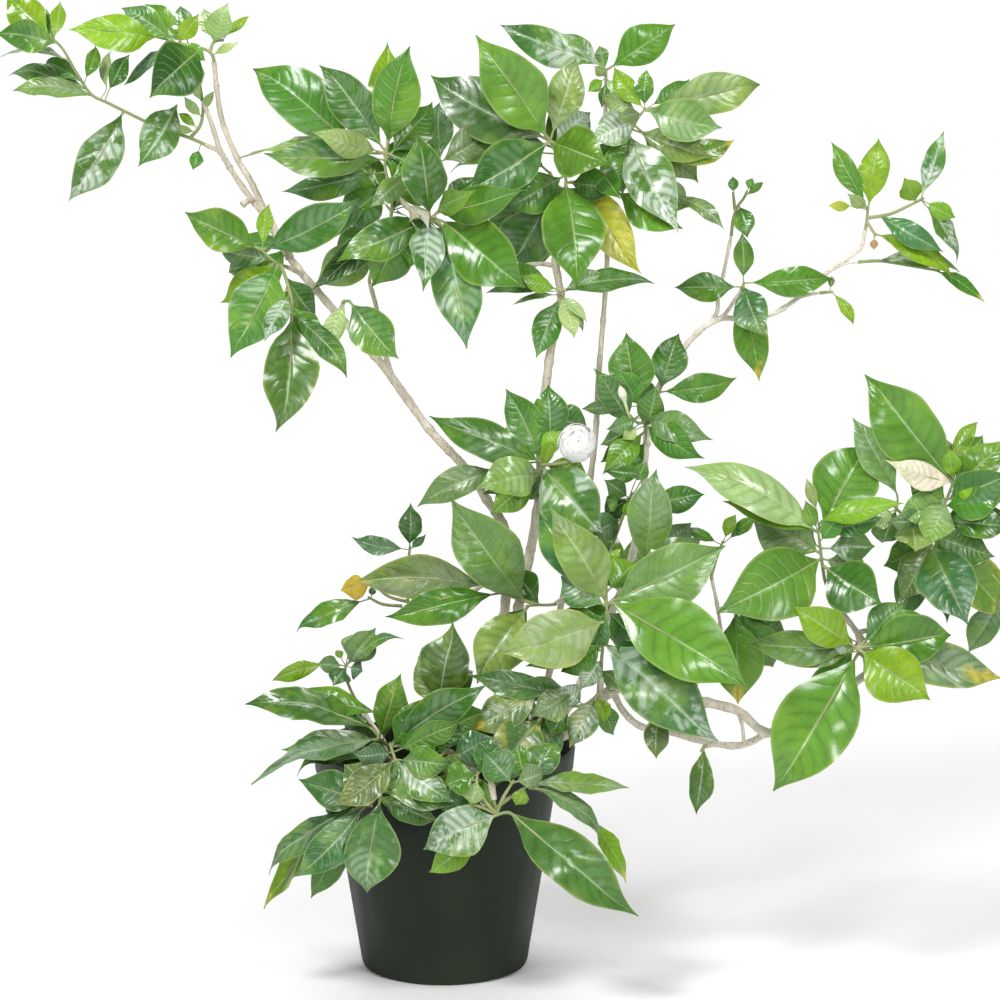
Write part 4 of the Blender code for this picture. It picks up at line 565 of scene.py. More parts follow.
# on names a stem and one of its branches, and twigs are green routes from that branch's end. A leaf is
# its foot, its tip, its width in pixels, how far the tip lies behind the foot, its tone, and where it
# is needed its arch and its turn. wavy is how much the leaves wave, shade how light they are, beside 1.
sprays = {
    "spray_top_left": dict(on=("stem_left", 3), wavy=1.5, twigs=[
        [(190, 138, 0.05), (160, 128, 0.052), (128, 113, 0.05), (108, 103, 0.046), (92, 95, 0.042),
         (76, 72, 0.036), (62, 48, 0.03), (52, 38, 0.026)],
        [(190, 138, 0.05), (200, 126, 0.052), (203, 108, 0.052), (200, 84, 0.05)],
    ], leaves=[
        ((90, 97), (10, 89), 20, -0.01, "grey"), ((88, 86), (6, 70), 22, 0.02, "dark"),
        ((58, 45), (-5, 32), 32, -0.015, "dark"), ((50, 34), (5, -6), 36, 0.01, "fresh"),
        ((110, 88), (128, 54), 20, 0.005, "dark"), ((176, 106), (138, 166), 40, -0.03, "silver"),
        ((124, 116), (67, 201), 42, -0.025, "silver"), ((62, 62), (0, 55), 12, 0.03, "grey"),
        ((54, 38), (60, 2), 16, 0.01, "fresh"), ((88, 78), (98, 45), 16, 0.005, "mid"),
        ((106, 86), (110, 50), 10, 0.02, "pale"), ((205, 152), (192, 170), 14, -0.01, "mid"),
        ((202, 118), (184, 96), 11, -0.01, "pale"), ((202, 128), (178, 112), 10, 0.00, "fresh"),
        ((202, 100), (188, 76), 10, -0.01, "pale"), ((200, 86), (196, 60), 11, -0.01, "fresh"),
        ((196, 132), (172, 126), 9, -0.01, "pale"), ((203, 108), (214, 90), 9, -0.01, "pale"),
        ((56, 42), (30, 4), 24, 0.02, "mid"), ((84, 84), (40, 62), 18, 0.03, "dark"),
    ]),
    "spray_crown_left": dict(on=("stem_left", 1), wavy=1.3, twigs=[
        [(210, 52, -0.002), (192, 46, -0.006), (174, 43, -0.008)],
        [(210, 52, -0.002), (214, 42, 0.00), (224, 40, 0.002)],
    ], leaves=[
        ((155, 37), (68, 28), 38, -0.03, "fresh"), ((200, 48), (148, 96), 56, -0.035, "deep"),
        ((170, 40), (122, 5), 28, 0.01, "dark"), ((176, 40), (200, 14), 18, -0.01, "fresh"),
        ((212, 44), (226, 2), 26, -0.015, "pale"), ((168, 50), (125, 87), 14, 0.01, "blue"),
        ((216, 54), (240, 42), 9, -0.01, "pale"), ((228, 38), (250, 15), 9, 0.01, "freshTip"),
        ((182, 40), (146, 2), 28, 0.02, "mid"), ((188, 42), (180, 4), 22, 0.01, "blue"),
        ((214, 42), (204, 8), 18, 0.01, "pale"), ((180, 44), (206, 60), 20, 0.00, "mid"),
    ]),
    "spray_left_middle": dict(on=("stem_left", 5), wavy=1.3, shade=0.88, twigs=[
        [(281, 265, -0.022), (270, 258, -0.028), (260, 248, -0.03)],
        [(281, 265, -0.022), (288, 285, -0.032), (292, 304, -0.036), (292, 316, -0.037)],
    ], leaves=[
        ((256, 244), (184, 213), 42, -0.015, "freshMid"), ((258, 245), (268, 203), 17, 0.02, "fresh"),
        ((270, 262), (216, 248), 28, 0.01, "dark"), ((262, 245), (361, 200), 42, -0.02, "dark"),
        ((275, 268), (228, 358), 54, -0.03, "mid"), ((272, 266), (224, 304), 34, 0.02, "fresh"),
        ((290, 296), (262, 342), 22, -0.05, "silver"),
        ((292, 322), (281, 433), 55, -0.035, "lastYellow"), ((286, 272), (302, 330), 15, 0.03, "pale"),
        ((294, 312), (350, 376), 26, -0.02, "dark"), ((288, 290), (240, 330), 34, 0.01, "dark"),
        ((290, 304), (318, 350), 34, 0.01, "mid"), ((276, 264), (226, 272), 30, 0.02, "freshMid"),
        ((284, 276), (316, 318), 30, 0.02, "dark"),
    ]),
    "rear_left": dict(on=("stem_left", 8), twigs=[
        [(290, 244, 0.046), (290, 238, 0.06)],
    ], leaves=[
        ((284, 242), (244, 304), 34, 0.02, "mid"), ((296, 237), (346, 208), 32, 0.015, "dark"),
        ((283, 238), (230, 250), 24, 0.025, "mid"),
    ]),
    "spray_left_inner": dict(on=("stem_left", 6), twigs=[
        [(346, 301, -0.024), (350, 301, -0.028)],
    ], leaves=[
        ((346, 303), (328, 352), 22, -0.01, "pale"), ((354, 303), (397, 360), 44, -0.02, "lastYellow"),
    ]),
    "spray_top_mid_left": dict(on=("stem_left", 4), shade=0.86, wavy=1.2, twigs=[
        [(374, 262, 0.02), (386, 240, 0.004), (406, 224, -0.012), (436, 217, -0.026)],
        [(386, 240, 0.004), (392, 204, 0.00), (385, 164, -0.004), (388, 142, -0.006)],
        [(374, 262, 0.02), (380, 240, 0.044), (384, 220, 0.064)],
    ], leaves=[
        ((352, 146), (250, 63), 56, 0.03, "mid"), ((376, 152), (320, 62), 44, 0.00, "dark"),
        ((388, 134), (386, 44), 40, 0.02, "fresh"), ((392, 142), (408, 46), 50, -0.02, "mid"),
        ((380, 162), (263, 158), 40, -0.03, "dark"), ((374, 150), (312, 130), 28, -0.045, "pale"),
        ((372, 174), (283, 192), 30, 0.01, "dark"), ((404, 178), (370, 208), 24, -0.03, "grey"),
        ((434, 212), (420, 134), 46, -0.015, "dark"), ((440, 158), (438, 103), 30, 0.04, "dark"),
        ((444, 160), (488, 133), 36, 0.03, "grey"), ((440, 212), (524, 188), 38, -0.045, "mid"),
        ((438, 210), (474, 192), 24, -0.06, "freshMid"), ((444, 222), (524, 290), 62, -0.035, "mid"),
        ((432, 222), (425, 290), 36, -0.05, "silver"), ((443, 228), (467, 350), 50, -0.03, "blueMid"),
        ((428, 222), (335, 258), 40, -0.04, "dark"), ((398, 236), (314, 292), 26, -0.02, "deep"),
        ((372, 200), (315, 248), 24, 0.03, "blue"), ((382, 212), (346, 150), 38, 0.03, "mid"),
        ((388, 212), (428, 150), 38, 0.03, "dark"), ((378, 222), (334, 252), 28, 0.02, "mid"),
        ((390, 220), (446, 244), 32, 0.02, "mid"), ((336, 148), (240, 160), 14, 0.05, "fresh"),
        ((404, 206), (430, 226), 12, -0.055, "cream"), ((386, 190), (340, 226), 42, 0.02, "dark"),
        ((392, 196), (432, 176), 42, 0.02, "dark"), ((384, 180), (414, 138), 44, 0.02, "mid"),
        ((400, 226), (358, 264), 46, 0.01, "grey"), ((412, 228), (374, 288), 48, 0.00, "mid"),
        ((420, 226), (448, 270), 46, 0.01, "dark"), ((376, 236), (316, 286), 42, 0.01, "olive"),
        ((440, 226), (496, 262), 52, 0.02, "dark"), ((396, 160), (434, 106), 42, 0.03, "mid"),
        ((424, 228), (412, 268), 34, -0.02, "mid"), ((398, 206), (420, 236), 10, -0.06, "pale"),
        ((400, 204), (414, 222), 8, -0.07, "cream"), ((446, 206), (478, 176), 30, 0.01, "dark"),
    ]),
    "spray_top_mid": dict(on=("stem_middle", 0), shade=0.86, twigs=[
        [(564, 192, 0.028), (566, 180, 0.026), (558, 158, 0.02), (548, 137, 0.014)],
        [(564, 190, 0.028), (556, 184, 0.05), (550, 172, 0.068)],
    ], leaves=[
        ((545, 133), (428, 76), 62, 0.02, "blueMid"), ((545, 132), (474, 36), 60, -0.025, "bright"),
        ((545, 140), (465, 192), 52, -0.02, "dark"), ((548, 202), (514, 262), 56, 0.046, "dark"),
        ((560, 178), (506, 210), 40, -0.01, "dark"), ((569, 184), (577, 287), 64, -0.05, "mid"),
        ((553, 137), (608, 164), 54, -0.045, "freshMid"), ((574, 178), (618, 190), 34, -0.03, "dark"),
        ((580, 184), (637, 276), 42, -0.02, "yellow"), ((553, 130), (577, 56), 38, 0.00, "olive"),
        ((545, 166), (490, 120), 42, 0.03, "mid"), ((552, 164), (562, 104), 36, 0.04, "dark"),
        ((544, 176), (492, 188), 38, 0.02, "mid"), ((554, 178), (568, 258), 40, 0.03, "mid"),
        ((600, 172), (620, 200), 26, -0.05, "mid"), ((546, 150), (450, 110), 46, 0.05, "grey"),
        ((552, 176), (494, 240), 50, 0.05, "dark"), ((562, 190), (536, 250), 42, 0.03, "mid"),
        ((546, 160), (450, 168), 24, 0.04, "fresh"), ((566, 186), (604, 214), 34, 0.02, "mid"),
        ((556, 146), (590, 112), 34, 0.03, "silver"), ((556, 186), (520, 276), 40, 0.06, "mid"),
    ]),
    "spray_middle_low": dict(on=("stem_middle", 2), twigs=[
        [(560, 293, -0.012), (560, 290, -0.016)],
    ], leaves=[
        ((566, 292), (656, 281), 20, -0.01, "dark"), ((553, 288), (520, 275), 18, -0.015, "fresh"),
        ((558, 302), (536, 358), 30, -0.02, "dark"), ((566, 297), (576, 338), 22, -0.02, "pale"),
        ((540, 290), (486, 293), 11, -0.005, "dark"), ((552, 298), (512, 305), 9, -0.01, "olive"),
        ((568, 290), (606, 274), 22, 0.00, "grey"), ((552, 286), (500, 268), 28, 0.02, "mid"),
        ((564, 300), (588, 322), 12, -0.02, "pale"), ((568, 304), (584, 332), 10, -0.01, "grey"),
    ]),
    "spray_top_tip": dict(on=("stem_thin", 0), twigs=[
        [(606, 80, 0.058), (606, 68, 0.058)],
    ], leaves=[
        ((610, 62), (677, 24), 40, 0.00, "mid"), ((596, 62), (498, 23), 36, 0.015, "silver"),
        ((600, 76), (588, 92), 13, -0.01, "fresh"), ((612, 74), (600, 46), 14, 0.03, "mid"),
        ((604, 80), (594, 66), 12, -0.01, "pale"), ((608, 80), (622, 98), 13, -0.01, "pale"),
        ((606, 82), (602, 108), 12, -0.015, "silver"), ((598, 66), (560, 34), 26, 0.02, "silver"),
    ]),
    "spray_top_right": dict(on=("stem_thin", 1), wavy=1.2, twigs=[
        [(630, 132, 0.034), (638, 118, 0.026), (646, 108, 0.02)],
        [(620, 146, 0.036), (640, 172, 0.022), (652, 190, 0.018)],
    ], leaves=[
        ((642, 106), (612, 67), 22, 0.01, "fresh"), ((646, 104), (646, 68), 20, 0.00, "mid"),
        ((656, 107), (766, 82), 42, 0.02, "olive"), ((650, 112), (722, 128), 44, -0.02, "olive"),
        ((634, 114), (590, 140), 36, -0.01, "silver"), ((628, 134), (620, 194), 42, -0.02, "mid"),
        ((634, 136), (680, 232), 50, -0.045, "silver"), ((670, 158), (736, 142), 26, 0.01, "yellowEdge"),
        ((640, 136), (712, 158), 34, -0.015, "olive"), ((620, 194), (682, 230), 40, -0.02, "freshMid"),
        ((676, 196), (724, 228), 15, 0.00, "grey"), ((644, 176), (690, 208), 34, 0.01, "grey"),
        ((622, 150), (604, 196), 30, -0.01, "mid"), ((640, 118), (600, 96), 22, 0.02, "pale"),
        ((644, 130), (700, 180), 40, 0.02, "olive"), ((630, 140), (600, 170), 30, 0.01, "dark"),
        ((654, 106), (690, 82), 20, 0.02, "mid"), ((640, 112), (616, 120), 16, -0.02, "grey"),
    ]),
    "spray_sprig": dict(on=("stem_upper_right", 1), wavy=1.3, twigs=[
        [(744, 282, 0.048)],
    ], leaves=[
        ((735, 284), (674, 287), 30, 0.01, "dark"), ((752, 280), (834, 277), 31, 0.01, "mid"),
        ((744, 285), (764, 338), 36, -0.03, "blue"), ((740, 290), (762, 381), 35, 0.00, "yellowTip"),
        ((744, 275), (741, 232), 21, -0.01, "dark"),
    ]),
    "spray_sprig_top": dict(on=("stem_upper_right", 2), twigs=[
        [(733, 220, 0.074), (738, 206, 0.072), (744, 198, 0.07), (747, 191, 0.07)],
        [(735, 210, 0.073), (733, 192, 0.072)],
    ], leaves=[
        ((739, 206), (748, 238), 22, -0.015, "dark"), ((733, 192), (733, 176), 11, 0.00, "mid"),
        ((747, 189), (753, 178), 10, 0.00, "mid"), ((744, 196), (764, 182), 8, 0.01, "mid"),
    ]),
    "spray_far_right": dict(on=("stem_upper_right", 0), wavy=1.3, twigs=[
        [(867, 218, 0.06), (868, 208, 0.058)],
        [(867, 218, 0.06), (890, 214, 0.052), (908, 206, 0.046), (924, 198, 0.042)],
        [(867, 222, 0.06), (876, 236, 0.054)],
    ], leaves=[
        ((864, 200), (832, 140), 22, 0.00, "mid"), ((872, 204), (881, 137), 31, 0.00, "fresh"),
        ((920, 192), (943, 131), 22, 0.01, "silver"), ((916, 204), (904, 177), 24, -0.02, "fresh"),
        ((930, 197), (956, 218), 20, -0.01, "fresh"), ((878, 216), (944, 252), 24, -0.025, "blue"),
        ((930, 203), (961, 262), 17, -0.005, "silver"), ((880, 237), (958, 276), 26, -0.01, "fresh"),
        ((850, 206), (828, 205), 11, 0.00, "yellow"), ((862, 206), (848, 193), 14, -0.02, "pale"),
        ((876, 240), (874, 250), 9, -0.005, "tan"),
    ]),
    "spray_far_right_low": dict(on=("stem_upper_right", 3), twigs=[
        [(880, 261, 0.068), (912, 266, 0.068), (940, 271, 0.068)],
    ], leaves=[
        ((880, 261), (962, 268), 14, -0.006, "mid"), ((940, 271), (984, 303), 13, -0.005, "yellowTip"),
    ]),
    "spray_twig_end": dict(on=("stem_upper_right", 4), wavy=1.4, twigs=[
        [(829, 292, 0.058), (833, 292, 0.057)],
    ], leaves=[
        ((836, 294), (855, 325), 11, -0.005, "fresh"), ((829, 288), (832, 276), 7, 0.004, "dark"),
    ]),
    "spray_middle": dict(on=("stem_middle", 3), wavy=1.2, twigs=[
        [(542, 470, -0.024), (542, 465, -0.028), (541, 461, -0.03)],
        [(542, 465, -0.028), (556, 464, -0.04), (568, 462, -0.048)],
    ], leaves=[
        ((536, 459), (428, 418), 40, -0.01, "dark"), ((540, 456), (506, 388), 38, 0.015, "dark"),
        ((550, 440), (547, 384), 36, 0.008, "dark"), ((548, 414), (587, 426), 34, 0.020, "dark"),
        ((546, 460), (561, 428), 20, 0.00, "fresh"), ((538, 472), (477, 486), 44, -0.045, "olive"),
        ((546, 468), (602, 536), 62, -0.045, "silver", 0.22), ((496, 470), (416, 505), 32, 0.00, "grey"),
        ((538, 478), (482, 494), 24, -0.015, "deep"), ((548, 462), (590, 478), 30, -0.01, "freshMid"),
        ((544, 484), (490, 514), 32, -0.015, "freshMid"), ((540, 468), (552, 440), 14, -0.01, "fresh"),
        ((544, 474), (520, 500), 26, 0.00, "dark"),
    ]),
    "rear_middle": dict(on=("stem_middle", 4), twigs=[
        [(542, 470, 0.036), (542, 462, 0.05)],
    ], leaves=[
        ((536, 460), (496, 430), 34, 0.03, "mid"), ((547, 466), (590, 520), 34, 0.02, "dark"),
        ((536, 468), (484, 486), 26, 0.02, "mid"), ((544, 458), (556, 420), 26, 0.03, "mid"),
    ]),
    "spray_middle_right": dict(on=("stem_upper_right", 5), wavy=1.4, twigs=[
        [(646, 429, 0.02), (644, 422, 0.014), (640, 412, 0.01), (638, 404, 0.008)],
        [(644, 422, 0.014), (656, 402, 0.018), (660, 390, 0.022)],
        [(644, 422, 0.014), (638, 423, -0.002), (632, 418, -0.014)],
    ], leaves=[
        ((639, 400), (626, 332), 46, 0.00, "mid"), ((628, 420), (594, 368), 32, -0.02, "dark"),
        ((645, 428), (656, 386), 28, -0.02, "dark"), ((660, 387), (678, 332), 36, 0.01, "dark"),
        ((664, 388), (738, 379), 30, 0.00, "mid"), ((650, 418), (712, 440), 32, -0.025, "grey", 0.3),
        ((652, 424), (703, 462), 34, -0.04, "mid", 0.22), ((646, 440), (602, 474), 28, -0.03, "freshMid"),
        ((620, 408), (581, 409), 16, 0.00, "grey"), ((636, 428), (600, 446), 18, 0.00, "grey"),
        ((634, 420), (606, 430), 18, -0.01, "grey"), ((640, 404), (616, 368), 30, -0.01, "mid"),
        ((640, 440), (600, 462), 26, -0.02, "dark"), ((644, 444), (616, 480), 24, -0.01, "mid"),
        ((644, 410), (640, 376), 30, 0.01, "dark"), ((632, 424), (622, 440), 14, -0.01, "pale"),
    ]),
    "spray_centre": dict(on=("stem_right", 6), twigs=[
        [(602, 655, -0.078), (605, 630, -0.088), (607, 612, -0.094), (606, 602, -0.096)],
        [(606, 606, -0.094), (606, 580, -0.07), (609, 556, -0.052), (620, 525, -0.04),
         (632, 492, -0.036)],
        [(606, 606, -0.094), (630, 585, -0.066), (648, 563, -0.052)],
    ], leaves=[
        ((606, 602), (547, 508), 48, -0.03, "olive"), ((594, 598), (536, 510), 44, 0.03, "blue"),
        ((614, 606), (724, 545), 62, 0.01, "softMid"), ((614, 604), (750, 684), 74, -0.035, "bright"),
        ((606, 642), (714, 746), 66, -0.03, "streaked"), ((606, 636), (668, 652), 46, 0.01, "deep"),
        ((600, 620), (500, 654), 60, -0.03, "veined"), ((648, 560), (652, 468), 46, -0.01, "grey"),
        ((652, 505), (704, 493), 28, 0.02, "dark"), ((632, 492), (604, 480), 20, -0.02, "dark"),
        ((618, 520), (592, 534), 30, -0.01, "dark"), ((640, 474), (604, 470), 20, -0.01, "dark"),
        ((636, 480), (646, 462), 16, 0.00, "dark"), ((622, 516), (632, 500), 12, -0.008, "fresh"),
        ((598, 650), (526, 668), 24, 0.02, "dark"), ((626, 590), (702, 538), 46, 0.03, "grey"),
        ((634, 488), (606, 500), 24, 0.00, "mid"), ((630, 498), (604, 516), 26, 0.01, "deep"),
        ((620, 540), (602, 562), 16, 0.00, "dark"), ((608, 566), (620, 548), 10, 0.00, "fresh"),
        ((604, 660), (580, 690), 22, -0.01, "silver"), ((602, 640), (560, 674), 30, 0.01, "mid"),
        ((604, 590), (576, 570), 30, 0.02, "mid"), ((612, 592), (636, 560), 34, 0.02, "freshMid"),
        ((640, 580), (700, 560), 40, 0.04, "mid"), ((606, 610), (590, 652), 30, 0.02, "dark"),
        ((650, 560), (690, 520), 34, 0.02, "grey"), ((652, 520), (688, 560), 30, 0.03, "mid"),
        ((610, 610), (640, 640), 40, 0.02, "deep"), ((600, 668), (626, 690), 20, -0.01, "grey"),
        ((602, 606), (560, 574), 36, 0.02, "blueMid"), ((604, 616), (556, 632), 38, 0.015, "dark"),
    ]),
    "rear_centre": dict(on=("stem_upper_right", 6), twigs=[
        [(620, 598, 0.076), (623, 594, 0.086)],
    ], leaves=[
        ((629, 592), (690, 566), 40, 0.02, "mid"), ((628, 600), (704, 654), 50, 0.02, "dark"),
        ((626, 596), (586, 520), 40, 0.03, "mid"), ((630, 598), (660, 530), 44, 0.03, "dark"),
        ((617, 602), (570, 640), 34, 0.03, "mid"), ((617, 588), (572, 542), 34, 0.02, "mid"),
    ]),
    "spray_centre_left": dict(on=("stem_thin", 2), wavy=1.2, twigs=[
        [(548, 605, 0.00), (538, 605, -0.02), (526, 606, -0.036)],
        [(538, 605, -0.02), (510, 596, -0.016), (492, 590, -0.014)],
    ], leaves=[
        ((522, 603), (448, 500), 62, -0.02, "softMid"), ((482, 584), (352, 580), 46, 0.00, "brownTip"),
        ((496, 602), (385, 621), 36, -0.01, "mid"), ((521, 609), (474, 682), 54, -0.03, "olive"),
        ((540, 607), (508, 568), 30, 0.014, "dark"), ((530, 606), (500, 640), 28, 0.012, "dark"),
    ]),
    "spray_pot_top": dict(on=("stem_low_front", 1), wavy=1.7, shade=0.84, twigs=[
        [(516, 742, -0.092), (540, 718, -0.09), (556, 700, -0.088), (580, 690, -0.09)],
        [(556, 700, -0.088), (572, 706, -0.086), (586, 704, -0.084), (600, 692, -0.084)],
    ], leaves=[
        ((540, 708), (495, 785), 56, -0.03, "patched"), ((538, 692), (470, 731), 40, -0.01, "greyWorn"),
        ((576, 686), (531, 717), 32, -0.015, "grey"), ((594, 690), (568, 748), 30, -0.015, "greyWorn"),
        ((556, 694), (470, 676), 26, 0.01, "dark"), ((596, 690), (606, 722), 22, -0.006, "fresh"),
        ((602, 690), (613, 735), 23, 0.01, "mid"), ((562, 722), (530, 767), 32, 0.01, "blue"),
        ((545, 716), (488, 699), 40, 0.01, "grey"), ((574, 684), (514, 684), 28, 0.01, "dark"),
        ((568, 700), (551, 736), 25, -0.006, "mid"), ((584, 700), (556, 688), 24, -0.01, "silver"),
        ((548, 726), (520, 786), 28, 0.006, "grey"), ((530, 728), (464, 745), 39, 0.012, "blue"),
        ((552, 704), (528, 743), 30, 0.012, "dark"),
    ]),
    "spray_under": dict(on=("stem_right", 10), twigs=[
        [(657, 714, -0.082), (659, 710, -0.087)],
    ], leaves=[
        ((661, 706), (656, 759), 26, -0.012, "brownish"),
    ]),
    "spray_hanging": dict(on=("stem_right", 2), wavy=2.2, twigs=[
        [(703, 748, -0.088), (701, 752, -0.09)],
    ], leaves=[
        ((702, 744), (694, 814), 26, -0.006, "darkWarm"),
    ]),
    "spray_twig_tip": dict(on=("stem_right", 5), twigs=[
        [(716, 560, -0.034), (723, 541, -0.034)],
    ], leaves=[
        ((720, 537), (684, 528), 12, 0.00, "mid"), ((724, 536), (736, 514), 14, 0.00, "fresh"),
        ((728, 536), (756, 516), 14, 0.01, "mid"),
    ]),
    "spray_behind_right": dict(on=("stem_right", 8), twigs=[
        [(733, 609, -0.012), (736, 614, -0.008)],
    ], leaves=[
        ((736, 612), (738, 706), 50, -0.006, "yellowTip"), ((738, 610), (790, 640), 32, 0.02, "dark"),
        ((738, 612), (776, 668), 40, 0.02, "mid"), ((734, 608), (776, 600), 34, 0.01, "deep"),
    ]),
    "spray_right_left": dict(on=("stem_right", 3), twigs=[
        [(822, 562, -0.062), (820, 545, -0.066), (818, 530, -0.07)],
    ], leaves=[
        ((814, 528), (686, 463), 42, -0.015, "pale"), ((820, 522), (866, 445), 66, 0.03, "bright"),
        ((822, 520), (904, 502), 24, -0.03, "fresh"), ((824, 558), (716, 612), 72, -0.045, "bright"),
        ((816, 552), (750, 518), 54, 0.01, "grey"), ((828, 545), (874, 548), 34, 0.01, "silver"),
        ((828, 566), (882, 604), 56, -0.03, "dark"), ((816, 508), (806, 478), 12, 0.00, "pale"),
        ((812, 530), (722, 502), 26, -0.005, "freshMid"), ((822, 528), (884, 518), 24, 0.00, "dark"),
        ((816, 546), (770, 508), 34, 0.02, "dark"), ((824, 540), (842, 512), 22, -0.01, "mid"),
        ((826, 556), (868, 570), 36, 0.02, "grey"), ((820, 524), (806, 500), 16, -0.01, "freshMid"),
    ]),
    "spray_right_low": dict(on=("stem_right", 7), twigs=[
        [(858, 650, -0.088), (857, 648, -0.092)],
    ], leaves=[
        ((856, 638), (793, 606), 40, -0.015, "fresh"), ((850, 648), (747, 643), 36, 0.01, "lastYellow"),
        ((850, 656), (785, 667), 20, 0.00, "olive"), ((853, 660), (774, 795), 78, -0.03, "bright"),
        ((864, 644), (932, 698), 58, -0.04, "fresh"), ((866, 640), (954, 632), 54, 0.006, "mid"),
        ((864, 654), (904, 700), 34, -0.004, "grey"), ((872, 650), (1002, 680), 44, 0.012, "greyTip"),
        ((860, 638), (904, 602), 40, 0.02, "dark"), ((866, 642), (930, 616), 40, 0.015, "mid"),
        ((854, 644), (814, 628), 26, 0.00, "dark"), ((852, 654), (830, 640), 20, -0.01, "silver"),
    ]),
    "rear_right": dict(on=("stem_right", 9), twigs=[
        [(860, 644, -0.026), (857, 642, -0.014)],
    ], leaves=[
        ((851, 650), (800, 730), 44, 0.02, "mid"), ((864, 640), (930, 640), 34, 0.02, "dark"),
        ((850, 638), (800, 616), 28, 0.02, "mid"), ((862, 650), (910, 688), 30, 0.025, "mid"),
    ]),
    "spray_right_top": dict(on=("stem_right", 4), wavy=1.3, twigs=[
        [(932, 540, -0.05), (940, 516, -0.054), (948, 496, -0.058), (954, 480, -0.06)],
        [(932, 540, -0.05), (908, 520, -0.058), (894, 506, -0.062)],
    ], leaves=[
        ((944, 476), (866, 372), 64, -0.012, "mid"), ((896, 492), (853, 417), 34, 0.01, "olive"),
        ((954, 480), (886, 461), 28, -0.025, "cream"), ((954, 474), (948, 446), 20, -0.015, "fresh"),
        ((952, 462), (977, 419), 18, 0.015, "fresh"), ((958, 468), (984, 436), 28, 0.01, "mid"),
        ((950, 488), (1008, 438), 36, -0.005, "freshMid"), ((948, 500), (1012, 474), 44, -0.03, "dark"),
        ((944, 518), (1012, 528), 34, -0.01, "dark"), ((934, 540), (968, 624), 60, -0.03, "blue"),
        ((940, 536), (1008, 618), 50, 0.02, "yellowEdge"), ((914, 516), (916, 552), 42, -0.04, "olive"),
        ((930, 546), (950, 622), 26, -0.014, "grey"), ((894, 502), (870, 524), 26, -0.01, "olive"),
        ((1000, 600), (968, 652), 30, 0.03, "grey"), ((944, 500), (898, 518), 34, -0.01, "olive"),
        ((938, 530), (888, 520), 34, -0.02, "grey"), ((950, 498), (924, 546), 34, -0.03, "olive"),
        ((946, 506), (1004, 498), 38, -0.03, "mid"), ((942, 520), (1006, 512), 36, 0.00, "deep"),
        ((936, 536), (994, 556), 42, 0.00, "dark"), ((946, 492), (976, 484), 20, -0.02, "fresh"),
        ((932, 540), (900, 602), 42, -0.01, "grey"), ((930, 544), (884, 566), 40, 0.01, "mid"),
        ((934, 534), (960, 566), 40, 0.01, "mid"), ((948, 480), (930, 432), 30, 0.02, "olive"),
        ((948, 500), (908, 476), 34, 0.01, "freshMid"), ((956, 474), (1000, 448), 30, 0.02, "olive"),
        ((930, 548), (900, 620), 34, 0.02, "dark"), ((896, 508), (882, 544), 34, 0.02, "dark"),
    ]),
    "spray_left_low": dict(on=("stem_left", 7), wavy=1.8, shade=0.90, twigs=[
        [(410, 606, 0.04), (407, 592, 0.038), (408, 566, 0.032), (410, 546, 0.028)],
        [(409, 602, 0.04), (388, 596, 0.034), (372, 582, 0.028)],
        [(402, 606, 0.04), (382, 604, 0.034), (368, 597, 0.03)],
    ], leaves=[
        ((402, 547), (352, 540), 20, 0.01, "blue"), ((410, 543), (410, 503), 24, 0.00, "dark"),
        ((370, 578), (340, 590), 26, -0.01, "gold", 0.25), ((362, 592), (293, 627), 25, 0.00, "dark"),
        ((412, 546), (427, 535), 9, -0.01, "blue"), ((372, 594), (374, 586), 8, -0.006, "dark"),
    ]),
    "spray_left_star": dict(on=("stem_low_left", 2), wavy=1.8, shade=0.86, twigs=[
        [(349, 686, 0.01), (345, 674, 0.006), (346, 664, 0.004)],
    ], leaves=[
        ((348, 660), (376, 628), 32, -0.01, "grey"), ((352, 660), (401, 632), 18, -0.02, "blue"),
        ((342, 662), (317, 664), 18, 0.00, "grey"), ((322, 664), (270, 682), 18, -0.01, "fresh"),
        ((344, 666), (333, 686), 24, -0.015, "blue"), ((350, 662), (363, 671), 20, -0.005, "blue"),
        ((340, 660), (336, 650), 9, 0.01, "freshTip"), ((348, 656), (352, 632), 20, 0.01, "grey"),
    ]),
    "spray_skirt_left": dict(on=("stem_low_left", 0), wavy=1.8, shade=0.80, twigs=[
        [(389, 748, -0.034), (384, 742, -0.044), (378, 738, -0.052)],
        [(389, 748, -0.034), (390, 744, -0.07), (392, 750, -0.108), (396, 762, -0.124)],
    ], leaves=[
        ((370, 727), (242, 701), 30, -0.01, "darkWarm"), ((378, 732), (399, 673), 37, -0.005, "freshMid"),
        ((392, 738), (446, 693), 35, -0.01, "freshMid"), ((400, 740), (488, 686), 40, -0.03, "dark"),
        ((372, 738), (280, 751), 30, -0.02, "grey"), ((376, 746), (250, 782), 26, -0.08, "blueMid"),
        ((394, 764), (336, 807), 37, -0.02, "brownish"), ((400, 760), (454, 803), 33, -0.022, "silver"),
        ((398, 744), (471, 738), 26, -0.02, "mid"), ((402, 756), (453, 765), 32, -0.016, "dark"),
        ((368, 722), (302, 690), 24, 0.015, "mid"), ((374, 712), (280, 699), 25, 0.02, "mid"),
        ((386, 736), (401, 680), 25, 0.006, "dark"), ((376, 752), (293, 765), 25, -0.03, "mid"),
        ((384, 758), (330, 788), 40, 0.00, "brownish"), ((404, 748), (464, 722), 26, -0.008, "mid"),
        ((396, 768), (426, 815), 33, -0.014, "dark"), ((396, 746), (426, 705), 30, 0.01, "mid"),
        ((388, 744), (341, 725), 26, 0.01, "dark"), ((404, 742), (449, 714), 30, 0.01, "dark"),
        ((392, 752), (353, 756), 26, -0.012, "blue"),
    ]),
    "spray_skirt_corner": dict(on=("stem_low_left", 1), wavy=1.8, shade=0.80, twigs=[
